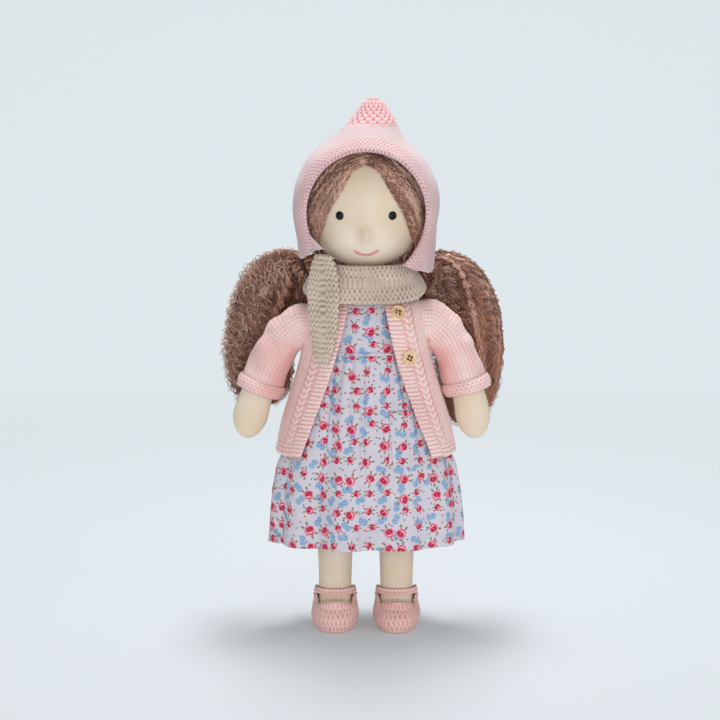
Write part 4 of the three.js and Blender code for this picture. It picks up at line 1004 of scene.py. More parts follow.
def build_materials(scene):
    colours, dress = scene.cloth_doll_colours, scene.cloth_doll_dress
    build_node_groups()
    MATERIALS.update(
        skin=jersey("cream_jersey", colours.skin),
        mouth=thread("mouth_thread", colours.mouth),
        eye=glossy_black("black_eye", colours.eye),
        pink=wool("pink_wool", colours.pink, colours.pink_hollow_shade),
        bonnet=wool("bonnet_wool", colours.bonnet, colours.bonnet_hollow_shade),
        # The crown's wool is a darker copy of the bonnet's, as painted shade on its top.
        crown=wool("crown_wool", colours.crown, colours.bonnet_hollow_shade, (colours.tip, colours.tip_hollow_shade)),
        oat=wool("oat_wool", colours.oat, colours.oat_hollow_shade),
        shoe=wool("shoe_wool", colours.shoe, colours.shoe_hollow_shade),
        hair=curls("curly_hair", colours),
        hair_under=curls("hair_underneath", colours, under=True),
        floral=printed_cotton("floral_cotton", colours, dress.flower_spacing),
        pants=plain_cotton("white_cotton", colours.pants),
        wood=pale_wood("button_wood", colours.wood, colours.wood_grain),
        elastic=thread("hair_elastic", colours.elastic),
        stitching=thread("sewing_thread", colours.elastic),
    )


# The doll's body


def full_turn(columns, start=0.0):
    return np.linspace(start, start + 2 * math.pi, columns)


def relief_of_face(across, up):
    nose = 4.9 * bell(across, 4.2) * bell(up + 15.5, 4.8)
    cheeks = 1.2 * bell(np.abs(across) - 17, 10) * bell(up + 20, 8)
    eye_line = 1.6 * bell(up + EYE_DROP, 6.5) * smoothstep(-np.abs(across), -42, -20)
    return nose + cheeks - eye_line


def fuller(up):
    return 1 + 0.1 * smoothstep(-up, 8, 30)


def head_points(directions, grow=0.0):
    half_x, half_y, half_z = HEAD_HALF
    z = directions[..., 2] * (half_z + grow)
    x = directions[..., 0] * (half_x + grow) * fuller(z)
    facing = smoothstep(-directions[..., 1], 0.15, 0.6)
    y = directions[..., 1] * (half_y + grow) * fuller(z) - facing * relief_of_face(x, z)
    return together(x, y, z + HEAD_Z)


def face_point(across, up):
    across, up = np.asarray(across, float), np.asarray(up, float)
    full = fuller(up)
    depth = np.sqrt(np.clip(1 - (across / HEAD_HALF[0] / full) ** 2 - (up / HEAD_HALF[2]) ** 2, 0, 1))
    facing = smoothstep(depth, 0.15, 0.6)
    y = -depth * HEAD_HALF[1] * full - facing * relief_of_face(across, up)
    return together(across, y, HEAD_Z + up)


def face_normal(across, up):
    step = 0.5
    right = face_point(across + step, up) - face_point(across - step, up)
    rise = face_point(across, up + step) - face_point(across, up - step)
    return unit(np.cross(right, rise))


def sphere_directions(rows, columns):
    tilt = np.linspace(-math.pi / 2, math.pi / 2, rows)[:, None]
    turn = full_turn(columns, math.pi / 2)[None]
    level = np.cos(tilt)
    return together(level * np.cos(turn), level * np.sin(turn), np.sin(tilt))


def closed_rings(points):
    """Close a stack of rings with rounded ends that run in to the middle of its first and last ring."""
    ends = []
    for ring, next_ring in ((points[0], points[1]), (points[-1], points[-2])):
        middle = ring.mean(axis=0)
        out = unit(middle - next_ring.mean(axis=0))
        caps = ((0.0, 0.9), (0.5, 0.8), (0.85, 0.4))
        ends.append([middle + (ring - middle) * share + out * bulge for share, bulge in caps])
    return np.concatenate([np.array(ends[0]), points, np.array(ends[1][::-1])])


def clear_of_thighs(points, reach):
    """Lift places over the room that the thighs need as they swing forwards."""
    points = points.copy()
    aside = np.abs(points[..., 0]) - LEG_X
    behind = np.maximum(points[..., 1], 0)
    room = np.sqrt(np.maximum(reach**2 - aside**2 - behind**2, 0))
    under = room > 0
    points[..., 2] = np.where(under, np.maximum(points[..., 2], HIP_HEIGHT + room), points[..., 2])
    return points


def arm_path(side):
    spread = math.radians(-side * ARM_SPREAD)
    c, n = math.cos(spread), math.sin(spread)
    height = SHOULDER_HEIGHT + side * SHOULDER_TILT
    steps = ((0, 0), (10.07, 8.16), (19, 24), (29.3, 53), (34.7, 78.5))
    return [(side * (ARM_START + out * c + down * n), 0, height - down * c + out * n) for out, down in steps]


def limb_places(path, shares):
    centres = path_through(path, shares)
    near = path_through(path, np.clip(shares - 0.004, 0, 1))
    far = path_through(path, np.clip(shares + 0.004, 0, 1))
    return centres, unit(far - near)


class ClothDollBody(bpy.types.Operator):
    """Make the stuffed torso, arms and legs of cream jersey"""

    bl_idname = "cloth_doll.body"
    bl_label = "Body and limbs"

    def execute(self, context):
        heights = np.linspace(126.5, 239.6, 60)
        points = rings(torso_section, heights, full_turn(90), BODY_ROUND)
        torso = spread("stuffed_torso", clear_of_thighs(closed_rings(points), 14.2), closed=True)
        finish(torso, "torso", "skin", ["torso"])
        for name, side in SIDES.items():
            self.leg(name, side)
            self.arm(name, side)
        return {"FINISHED"}

    def leg(self, name, side):
        """The leg is sewn flat at its front, where a seam runs down, and its foot points forward."""
        x = side * LEG_X
        top, ankle, low = HIP_HEIGHT + 13.2, 24, 2.75
        spans = ((top, HIP_HEIGHT, 22), (HIP_HEIGHT, ankle, 62), (ankle, low, 40))
        heights = [np.linspace(*span)[:-1] for span in spans]
        heights = np.concatenate([*heights, [low]])
        radius = np.interp(heights, *np.array(LEG_RADII).T)
        above = heights > HIP_HEIGHT
        radius[above] = np.sqrt(np.maximum(THIGH_RADIUS**2 - (heights[above] - HIP_HEIGHT) ** 2, 0.5))
        turns = full_turn(72, -math.pi / 2)
        points = np.empty((len(heights), len(turns), 3))
        foot = smoothstep(-heights, -21, -11)[:, None]
        forward = np.maximum(-np.sin(turns), 0)[None]
        points[..., 0] = x + (radius[:, None] + 0.9 * foot) * np.cos(turns)
        toe = (27.2 - radius[:, None] - 4.5 * (np.clip((heights[:, None] - 11) / 9, -1, 1)) ** 2) * foot
        points[..., 1] = radius[:, None] * np.sin(turns) - toe * forward**0.75 * (1 - 0.1 * forward)
        points[..., 2] = heights[:, None]
        from_front = np.angle(np.exp(1j * (turns + math.pi / 2)))
        seam = bell(from_front, 0.05)[None] * smoothstep(-heights, -120, -100)[:, None]
        dimple = 0.5 + 0.5 * np.abs(np.sin(heights * 1.15))[:, None]
        normals = normals_of(points, around=True)
        points = moved_out(points, normals, -0.9 * seam * dimple)
        points = moved_out(points, normals, 0.12 * wobble(points, 9.0, 1))
        leg = spread(f"{name}_stuffed_leg", closed_rings(points), closed=True)
        finish(leg, f"{name}_leg", "skin", [f"{name}_leg"])

    def arm(self, name, side):
        hand = 0.8 + 0.2 * np.sin(np.linspace(0, math.pi / 2, 40))
        shares = np.concatenate([np.linspace(0, 0.8, 70)[:-1], hand])
        centres, tangents = limb_places(arm_path(side), shares)
        wide = np.interp(shares, (0, 0.3, 0.62, 0.74, 0.86, 1.0), (10.6, 10.8, 10.0, 11.4, 12.3, 12.0))
        thick = np.interp(shares, (0, 0.3, 0.62, 0.8, 1.0), (10.6, 10.8, 9.8, 8.6, 8.2))
        tip = np.sqrt(np.clip(1 - np.clip((shares - 0.8) / 0.2, 0, 1) ** 2.3, 0, 1))
        turns = full_turn(64)
        points = ovals(centres, *square_to(tangents), wide * tip, thick * tip, turns)
        edge = bell(np.abs(np.cos(turns)) - 1, 0.02)[None] * (tip[:, None] > 0.05)
        normals = normals_of(points, around=True)
        points = moved_out(points, normals, -0.35 * edge * (0.6 + 0.4 * np.sin(shares * 260)[:, None]))
        points = moved_out(points, normals, 0.15 * wobble(points, 7.0, 2) * np.minimum(tip, 1)[:, None])
        stub = points[:1].copy()
        stub[..., 0] = side * 36.4
        stub[..., 2] = SHOULDER_HEIGHT + side * SHOULDER_TILT + (points[:1, :, 2] - points[:1, :, 2].mean())
        inwards = stub.mean(axis=1, keepdims=True) - stub
        flat_root = np.concatenate([stub + inwards * k for k in (1.0, 0.4, 0.0)])
        keep = side * points[..., 0] < ARM_START - 6
        points[..., 0] = np.where(keep, side * (ARM_START - 6), points[..., 0])
        arm = spread(f"{name}_stuffed_arm", np.concatenate([flat_root, points]), closed=True)
        finish(arm, f"{name}_arm", "skin", [f"{name}_arm"])


class ClothDollHead(bpy.types.Operator):
    """Make the stuffed head with its eyes and its stitched mouth"""

    bl_idname = "cloth_doll.head"
    bl_label = "Head and face"

    def execute(self, context):
        head = spread("stuffed_head", head_points(sphere_directions(130, 180)), closed=True)
        finish(head, "head", "skin", ["head"])
        turns = full_turn(48)
        neck_heights = np.linspace(240.2, 256, 10)
        neck = rings(lambda h: (NECK_RADIUS + 0 * h, NECK_RADIUS + 0 * h), neck_heights, turns)
        neck_piece = spread("stuffed_neck", closed_rings(neck), closed=True)
        finish(neck_piece, "head", "skin")
        for name, side in SIDES.items():
            self.eye(name, side)
        self.mouth()
        return {"FINISHED"}

    def eye(self, name, side):
        """A black disc with a rounded rim, seated on the tied eye line."""
        ball = {"segments": 40, "ring_count": 24, "radius": 1.0}
        eye = added(f"{name}_round_eye", bpy.ops.mesh.primitive_uv_sphere_add, **ball)
        cut = {"plane_co": (0, 0, -0.35), "plane_no": (0, 0, 1), "clear_inner": True, "use_fill": True}
        edit(eye, lambda: bpy.ops.mesh.bisect(**cut))
        place, normal = face_point(side * EYE_X, -EYE_DROP), face_normal(side * EYE_X, -EYE_DROP)
        put(eye, place, normal, (0.0029, 0.0029, 0.00105), lift=0.45)
        bpy.ops.object.shade_smooth_by_angle(angle=math.radians(50))
        finish(eye, "head", "eye", [f"{name}_eye"])

    def mouth(self):
        """A twisted thread lies in a smile, with small stitches along it."""
        share = np.linspace(-1, 1, 160)
        across, up = share * 8.25, -MOUTH_DROP + 3.6 * share**2
        line, out = face_point(across, up), face_normal(across, up)
        along = unit(np.gradient(line, axis=0))
        aside = np.cross(out, along)
        turns = full_turn(14)
        taper = np.sqrt(np.clip(1 - np.abs(share) ** 8, 0.0, 1))
        stitch = 0.82 + 0.18 * np.abs(np.sin(share * 13.5))
        rows = []
        for i in range(len(share)):
            twist = 0.1 * np.cos(3 * (turns + share[i] * 40))
            high = (0.55 + twist) * taper[i] * stitch[i]
            wide = (0.85 + twist) * taper[i]
            ring = np.outer(np.cos(turns) * high, out[i]) + np.outer(np.sin(turns) * wide, aside[i])
            rows.append(line[i] + out[i] * 0.5 + ring)
        mouth = spread("stitched_mouth", np.array(rows), closed=True)
        finish(mouth, "head", "mouth", ["mouth_thread"])


def put(piece, place, normal, size, lift=0.0):
    """Seat a piece that faces +Z on a surface, scaled to its size in metres, and settle it."""
    turn = Vector((0, 0, 1)).rotation_difference(Vector(tuple(normal)))
    where = metres(np.asarray(place) + np.asarray(normal) * lift)[0]
    piece.rotation_mode = "QUATERNION"
    piece.rotation_quaternion = turn
    piece.location = Vector(tuple(where))
    piece.scale = size
    settle(piece)


# Hair


def strands(name, lines, outwards, radius, tone, sides=3):
    """Many thin tubes in one mesh: lines is strands by steps by 3, and each strand has its tone."""
    count, steps = lines.shape[:2]
    along = unit(np.gradient(lines, axis=1))
    first = unit(np.cross(along, outwards))
    second = np.cross(along, first)
    points = np.empty((count, steps, sides, 3))
    for side in range(sides):
        turn = 2 * math.pi * side / sides
        points[:, :, side] = lines + radius[..., None] * (math.cos(turn) * first + math.sin(turn) * second)
    index = np.arange(count * steps * sides).reshape(count, steps, sides)
    here, there = index[:, :-1], index[:, 1:]
    corners = [here, np.roll(here, -1, axis=2), np.roll(there, -1, axis=2), there]
    quads = np.stack(corners, axis=-1).reshape(-1, 4)
    mesh = bpy.data.meshes.new(name)
    mesh.vertices.add(points.size // 3)
    mesh.vertices.foreach_set("co", metres(points).ravel())
    mesh.loops.add(quads.size)
    mesh.loops.foreach_set("vertex_index", quads.ravel().astype(np.int32))
    mesh.polygons.add(len(quads))
    mesh.polygons.foreach_set("loop_start", np.arange(0, quads.size, 4, dtype=np.int32))
    mesh.polygons.foreach_set("loop_total", np.full(len(quads), 4, dtype=np.int32))
    mesh.update(calc_edges=True)
    mark(mesh, "tone", np.repeat(tone, steps * sides))
    mark(mesh, "reach", np.tile(np.repeat(np.linspace(0, 1, steps), sides), count))
    mesh.polygons.foreach_set("use_smooth", np.ones(len(quads), dtype=bool))
    piece = bpy.data.objects.new(name, mesh)
    bpy.context.collection.objects.link(piece)
    return piece


def curled(lines, outwards, locks, width, length, flat=0.75):
    """Curl lines into locks: the strands of a lock swing together."""
    along = unit(np.gradient(lines, axis=1))
    aside = unit(np.cross(along, outwards))
    reach = distances(lines, 1)
    phase = (locks.by_lock(0, 2 * math.pi) + locks.near(0, 0.5))[:, None]
    pitch = length * (locks.by_lock(0.75, 1.35) * locks.near(1, 0.02))[:, None]
    swing = width * locks.by_lock(0.55, 1.3)[:, None] * smoothstep(reach, 0, 14)
    turn = 2 * math.pi * reach / pitch + phase + 0.8 * np.sin(reach / 17 + phase * 2)
    sideways, out = swing * np.cos(turn), flat * swing * np.sin(turn)
    return lines + sideways[..., None] * aside + out[..., None] * unit(outwards)


class Locks:
    """Strands that fall together in locks, with random numbers by the lock or by the strand."""

    def __init__(self, seed, count, size):
        self.rng = np.random.default_rng(SEED + seed)
        self.of = np.arange(count) // size
        self.count, self.total = count, self.of.max() + 1

    def by_lock(self, low, high):
        return self.rng.uniform(low, high, self.total)[self.of]

    def by_strand(self, low, high):
        return self.rng.uniform(low, high, self.count)

    def near(self, value, spread_by):
        return self.rng.normal(value, spread_by, self.count)


def ponytail_path(side, length):
    middle = 71.5
    top = TIE_HEIGHT
    steps = (
        (TIE_OUT - 15, TIE_BACK - 7, top + 8),
        (TIE_OUT, TIE_BACK, top),
        (TIE_OUT + 11, TIE_BACK + 3, top - 1),
        (middle - 11, 26, top - 13),
        (middle - 3, 27, top - 32),
        (middle, 27, top - 56),
        (middle, 27, top - length * 0.8),
        (middle - 2, 27, top - length),
    )
    return [(side * x, y, z) for x, y, z in steps]


PONYTAIL_SHARES = (0, 0.17, 0.22, 0.29, 0.36, 0.45, 0.6, 0.72, 0.86, 0.95, 1)
PONYTAIL_WIDE = (6, 6, 8.4, 11.5, 16.7, 19.8, 21.6, 22, 19.5, 15.5, 8)
PONYTAIL_THICK = (6, 6, 7.8, 11.2, 13.6, 14.9, 15.5, 15.5, 13.6, 10.5, 6)


def ponytail_frame(side, length, shares):
    """A ponytail at shares of its length: middle, sideways and backward directions and half sizes."""
    centres, tangents = limb_places(ponytail_path(side, length), shares)
    halves = (np.interp(shares, PONYTAIL_SHARES, sizes) for sizes in (PONYTAIL_WIDE, PONYTAIL_THICK))
    return centres, *square_to(tangents), *halves


def round_ponytail(side, length, share, turn, away):
    """Lines down a ponytail, turned round it and away by a share of its half sizes, and their outsides."""
    centres, across, through, wide, thick = ponytail_frame(side, length, share.ravel())
    c, s = np.cos(turn).ravel(), np.sin(turn).ravel()
    out_x, out_y = c * away.ravel() * wide, s * away.ravel() * thick
    lines = centres + across * out_x[:, None] + through * out_y[:, None]
    outwards = unit(across * c[:, None] + through * s[:, None])
    return lines.reshape(*share.shape, 3), outwards.reshape(*share.shape, 3)


class ClothDollHair(bpy.types.Operator):
    """Make the curly hair: the wig under the bonnet, two ponytails and their ties"""

    bl_idname = "cloth_doll.hair"
    bl_label = "Hair"

    def execute(self, context):
        hair = context.scene.cloth_doll_hair
        self.radius = hair.thickness * 1000
        self.width, self.length, self.lock = hair.curl_width * 1000, hair.curl_length * 1000, hair.lock
        count = hair.strands
        for name, side in SIDES.items():
            length = PONYTAIL_LENGTHS[name]
            self.ponytail_core(name, side, length)
            for half, outer in (("outer", True), ("inner", False)):
                self.ponytail(f"{name}_ponytail_{half}", side, length, count, outer)
            self.wisps(name, side, length, count)
            self.tie(name, side)
            self.gathered(name, side, count)
            self.inner_fall(name, side, count)
        self.wig(count)
        return {"FINISHED"}

    def ponytail_core(self, name, side, length):
        shares = np.linspace(0.08, 0.985, 60)
        centres, across, through, wide, thick = ponytail_frame(side, length, shares)
        points = ovals(centres, across, through, wide * 0.8, thick * 0.8, full_turn(56))
        lump = 0.9 * wobble(points, 2.6, 20 + side) + 0.5 * wobble(points, 1.2, 30 + side)
        points = moved_out(points, normals_of(points, around=True), lump)
        core = spread(f"{name}_ponytail_core", closed_rings(points), closed=True)
        finish(core, None, "hair_under", [f"{name}_ponytail"])
        self.bend(core)

    def bend(self, piece):
        """Bake the piece's transform into its mesh."""
        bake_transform(piece)

    def ponytail(self, name, side, length, count, outer):
        steps = 36
        locks = Locks(50 + side + 5 * outer, count, self.lock)
        # Each lock has its own place round the ponytail, its depth and the shares between which it runs.
        turn = locks.by_lock(-math.pi / 2, math.pi / 2) + (0 if outer else math.pi) + locks.near(0, 0.06)
        depth = locks.by_lock(0.72, 1.02) + locks.near(0, 0.02)
        ends = locks.by_lock(0.62, 1.0) + locks.near(0, 0.015)
        starts = np.where(locks.by_lock(0, 1) < 0.45, 0.1, locks.by_lock(0.2, 0.55))
        reach = np.clip(ends, 0.5, 1.0) - starts
        share = starts[:, None] + reach[:, None] * np.linspace(0, 1, steps)[None]
        drift = turn[:, None] + 0.35 * np.sin(share * 6 + locks.by_lock(0, 6.3)[:, None])
        swell = depth[:, None] * (0.86 + 0.14 * smoothstep(share, 0.1, 0.4))
        flare = 1 + 0.16 * smoothstep(share, 0.55, 1.0) * locks.by_strand(-0.2, 1.0)[:, None]
        lines, outwards = round_ponytail(side, length, share, drift, swell * flare)
        lines = curled(lines, outwards, locks, self.width, self.length)
        taper = np.ones(steps)
        taper[-5:] = np.linspace(0.9, 0.25, 5)
        taper[:3] = (0.5, 0.8, 0.95)
        radius = self.radius * locks.by_strand(0.65, 1.35)[:, None] * taper[None]
        tone = np.clip(locks.by_lock(0.12, 0.6) + locks.by_strand(-0.15, 0.36), 0, 1)
        # Painted shade: locks that lie deeper in the ponytail are darker.
        tone = tone * (0.5 + 0.5 * np.clip((depth - 0.7) / 0.3, 0, 1))
        piece = strands(name, lines, outwards, radius, tone)
        finish(piece, None, "hair")
        self.bend(piece)

    def tie(self, name, side):
        """A ribbed ring of elastic sits round the gathered hair."""
        path = ponytail_path(side, PONYTAIL_LENGTHS["left"])
        centres, tangents = limb_places(path, np.array([TIE_SHARE - 0.008, TIE_SHARE + 0.008]))
        turn, around = full_turn(150)[:, None], full_turn(12)[None]
        across, through = square_to(tangents[0])
        ring = across * np.cos(turn) + through * np.sin(turn)
        ribs = 1 + 0.12 * np.cos(turn * 40)
        out = 6.9 + 0.9 * ribs * np.cos(around)
        points = ring[:, None] * out[..., None] + tangents[0] * (1.1 * ribs * np.sin(around))[..., None]
        tie = spread(f"{name}_elastic_tie", points + centres.mean(axis=0), closed=True)
        finish(tie, "head", "elastic", [f"{name}_hair_tie"])

    def wig_places(self, share, back, side):
        """Places on the wig, from the parting, share 0, to the ear, share 1. back is 0 at the hairline."""
        x, _, z = path_through([(x, 0, z) for x, z in HAIRLINE], share).T
        ux, uz = x / WIG_HALF[0], (z - WIG_CENTRE[2]) / WIG_HALF[2]
        front = together(ux, -np.sqrt(np.clip(1 - ux**2 - uz**2, 0.02, 1)), uz)
        rear = together(np.sin(share * 1.9), 0.35, np.cos(share * 1.9))
        mixed = unit(front * (1 - back)[:, None] + rear * back[:, None])
        mixed[:, 0] = (mixed[:, 0] - 0.02) * side
        return mixed

    def wig(self, count):
        directions = sphere_directions(70, 90)
        points = directions * (np.array(WIG_HALF) - 2.2) + np.array(WIG_CENTRE)
        face = (directions[..., 1] < 0) & (np.abs(points[..., 0]) < 40)
        ease = smoothstep(-directions[..., 1], 0.0, 0.5)
        shell = head_points(directions, 0.4)
        points = points * (1 - ease[..., None]) + shell * ease[..., None]
        points[..., 2] = np.maximum(points[..., 2], CAP_HEM)
        line_x = np.interp(points[..., 2], CAP_LINE_Z, CAP_LINE_X)
        inside_face = face & (np.abs(points[..., 0]) < line_x) & (points[..., 2] < CAP_LINE_Z[-1])
        points = np.where(inside_face[..., None], head_points(directions, -2.5), points)
        cap = spread("wig_cap", points, closed=True)
        finish(cap, "head", "hair_under", ["wig"])
        for name, side in SIDES.items():
            total, steps = max(count * 4 // 5, 60), 37
            locks = Locks(80 + side, total, 5)
            back = (np.sort(locks.rng.uniform(0, 1, locks.total)) ** 1.4 * 0.62)[locks.of]
            back = np.clip(back + locks.near(0, 0.006), 0.0, 0.7)
            start = locks.by_lock(0.0, 0.22) * (locks.by_strand(0, 1) < 0.6)
            share = start[:, None] + (0.99 - start)[:, None] * np.linspace(0, 1, steps)[None]
            weave = 0.012 * np.sin(share * 25 + locks.of[:, None] * 1.7)
            spread_back = back[:, None] * (0.75 + 0.35 * share) + weave
            unit_places = self.wig_places(share.ravel(), np.clip(spread_back, 0, 0.8).ravel(), side)
            rise = locks.by_strand(-1.6, 0.35)[:, None] + 0.5 * np.sin(share * 9 + locks.of[:, None])
            # The outermost hairs at the hairline lie down on the skin.
            rise = rise - 1.1 * (1 - smoothstep(back, 0.0, 0.08))[:, None]
            places = unit_places.reshape(total, steps, 3)
            lines = places * (np.array(WIG_HALF) + rise[..., None]) + np.array(WIG_CENTRE)
            lines = self.over_skin(curled(self.over_skin(lines), places, locks, 1.3, 5.2, flat=0.4))
            radius = self.radius * 0.8 * locks.by_strand(0.6, 1.25)[:, None] * np.ones(steps)[None]
            tone = np.clip(locks.by_lock(0.1, 0.8) + locks.by_strand(-0.05, 0.25), 0, 1)
            piece = strands(f"{name}_wig_strands", lines, places, radius, tone)
            finish(piece, "head", "hair")

    def bundle(self, name, side, count, seed, keys, wide, thick, on_skin):
        """A drawn bundle of hair along a line of places: its packed middle and its strands."""
        total, steps = max(count // 4, 40), 26
        locks = Locks(seed + side, total, 5)
        share = np.linspace(0, 1, steps)
        middle = path_through([(side * x, y, z) for x, y, z in keys], share)
        along = unit(np.gradient(middle, axis=0))
        across = unit(np.cross(along, np.array((0.0, 1.0, 0.0))))
        through = np.cross(along, across)
        turn, depth = locks.by_lock(0, 2 * math.pi), locks.by_lock(0.6, 1.05)
        wide, thick = (np.interp(share, np.linspace(0, 1, len(sizes)), sizes) for sizes in (wide, thick))
        lines = middle[None] + across[None] * (np.outer(depth * np.cos(turn), wide))[..., None]
        lines = lines + through[None] * (np.outer(depth * np.sin(turn), thick))[..., None]
        c, s = np.cos(turn)[:, None, None], np.sin(turn)[:, None, None]
        outwards = unit(across[None] * c + through[None] * s)
        lines = curled(lines, outwards, locks, 0.8, 6.5, flat=0.5)
        radius = self.radius * locks.by_strand(0.7, 1.2)[:, None] * np.ones(steps)[None]
        tone = np.clip(locks.by_lock(0.05, 0.7) + locks.by_strand(0, 0.2), 0, 1)
        core = ovals(middle, across, through, 0.85 * wide, 0.85 * thick, full_turn(36))
        if on_skin:
            core, lines = self.over_skin(core), self.over_skin(lines)
        core = spread(f"{name}_core", closed_rings(core), closed=True)
        return core, strands(f"{name}_strands", lines, outwards, radius, tone)

    def gathered(self, name, side, count):
        """Hair drawn from behind the cheek to the tie, under the bonnet."""
        keys = ((31, -9, 266), (28, -2, 257), (28.5, 9, 251.5), (TIE_OUT, TIE_BACK, TIE_HEIGHT))
        wide, thick = (4.5, 5.5, 6.0, 4.6), (7, 8, 9, 4.6)
        core, hair = self.bundle(f"{name}_gathered", side, count, 110, keys, wide, thick, on_skin=True)
        finish(core, "head", "hair_under")
        finish(hair, "head", "hair")

    def inner_fall(self, name, side, count):
        """Hair that falls straight from the tie, behind the scarf and the shoulder."""
        low = ((39, 21, 240), (42, 26, 230), (45, 28.5, 216), (52, 29, 200), (60, 28, 182))
        keys = ((TIE_OUT - 3, TIE_BACK, TIE_HEIGHT), *low)
        wide, thick = (4.4, 6.5, 7.5, 9.0, 9.0, 5.0), (4.4, 5.5, 5.0, 5.0, 5.0, 3.0)
        fall = self.bundle(f"{name}_inner_fall", side, count, 150, keys, wide, thick, on_skin=False)
        for piece, look in zip(fall, ("hair_under", "hair")):
            finish(piece, None, look)
            self.bend(piece)

    def wisps(self, name, side, length, count):
        """Loose curls that stand away from the ponytail."""
        total, steps = max(count // 4, 20), 38
        locks = Locks(130 + side, total, 1)
        start = locks.by_strand(0.16, 0.72)
        reach = np.minimum(locks.by_strand(0.18, 0.4), 1.0 - start)
        share = start[:, None] + reach[:, None] * np.linspace(0, 1, steps)[None]
        turn = locks.by_strand(-1.1, 1.4)[:, None] + 0.5 * np.sin(share * 9 + locks.of[:, None])
        bow = np.sin(np.linspace(0, math.pi * 0.85, steps))
        away = 0.95 + 0.3 * locks.by_strand(0.1, 1)[:, None] * bow[None]
        lines, outwards = round_ponytail(side, length, share, turn, away)
        lines = curled(lines, outwards, locks, self.width * 1.25, self.length * 0.85, flat=1.0)
        taper = np.interp(np.linspace(0, 1, steps), (0, 0.1, 0.85, 1), (0.4, 1, 0.8, 0.3))
        radius = self.radius * 0.72 * locks.by_strand(0.7, 1.2)[:, None] * taper[None]
        piece = strands(f"{name}_ponytail_wisps", lines, outwards, radius, locks.by_strand(0.45, 1.0))
        finish(piece, None, "hair")
        self.bend(piece)

    def over_skin(self, lines):
        """Lift places off the head where they would sink into it."""
        middle = np.array((0, 0, HEAD_Z))
        away = lines - middle
        full = fuller(away[..., 2])
        halves = together(full, full, 1) * (np.array(HEAD_HALF) + 0.5)
        depth = np.sqrt(((away / halves) ** 2).sum(axis=-1))
        return middle + away * np.maximum(1, 1.0 / np.maximum(depth, 0.5))[..., None]


# Clothes


def cut_away(piece, inside):
    """Remove the places of a piece where inside is true. It takes the CAD source's millimetres."""
    edit(piece, lambda: bpy.ops.mesh.delete(type="VERT"), chosen=inside(*places_of(piece).T))


def armhole(reach):
    def inside(x, y, z):
        height = SHOULDER_HEIGHT + np.sign(x) * SHOULDER_TILT
        return (np.abs(x) > 25) & (np.hypot(y, z - height) < reach)

    return inside


def row_lengths(points, start=0):
    """Each place's position on the flat cloth when the cloth is measured along every row from one column."""
    across = distances(points, 1)
    across = across - across[:, start][:, None]
    return together(across, lengths(points, 0)[:, None])


def bonnet_places(turns, heights, grow=0.0):
    half_x, half_y = bonnet_section(heights)
    lean = 5 * smoothstep(heights, 324, 349)
    x = lean + (half_x + grow) * np.cos(turns)
    y = 0.4 * lean + (half_y + grow) * np.sin(turns)
    return together(x, y, heights)


def bonnet_hem(points):
    """How far the hem dips towards its front corners, and how far the right one is tucked up."""
    x, y = points[..., 0], points[..., 1]
    left = np.interp(-y, (-8, 0, 8, 18, 30, 41, 60), (0, 5, 8.2, 8.8, 6, 1.5, 1.0))
    tucked = 13.0 * smoothstep(-x, 10, 30) * smoothstep(-y, 12, 34)
    right = 5.0 * smoothstep(-y, 14, 30) - 2.0 * smoothstep(-y, 32, 42) - tucked
    return -np.where(x > 0, left, right)


def on_bonnet(places):
    """Put places back on the bonnet's outer surface at their own heights."""
    half_x, half_y = bonnet_section(places[..., 2])
    lean = 5 * smoothstep(places[..., 2], 324, 349)
    away_x, away_y = (places[..., 0] - lean) / half_x, (places[..., 1] - 0.4 * lean) / half_y
    scale = 1 / np.maximum(np.hypot(away_x, away_y), 1e-6)
    placed = places.copy()
    placed[..., 0] = lean + away_x * scale * half_x
    placed[..., 1] = 0.4 * lean + away_y * scale * half_y
    return placed


def bonnet_normals(places):
    step = 0.4
    up = places.copy()
    up[..., 2] += step
    down = places.copy()
    down[..., 2] -= step
    rise = on_bonnet(up) - on_bonnet(down)
    half_x, half_y = bonnet_section(places[..., 2])
    lean = 5 * smoothstep(places[..., 2], 324, 349)
    x, y = places[..., 0] - lean, places[..., 1] - 0.4 * lean
    around = together(-y / half_y * half_x, x / half_x * half_y, 0)
    return unit(np.cross(around, rise))


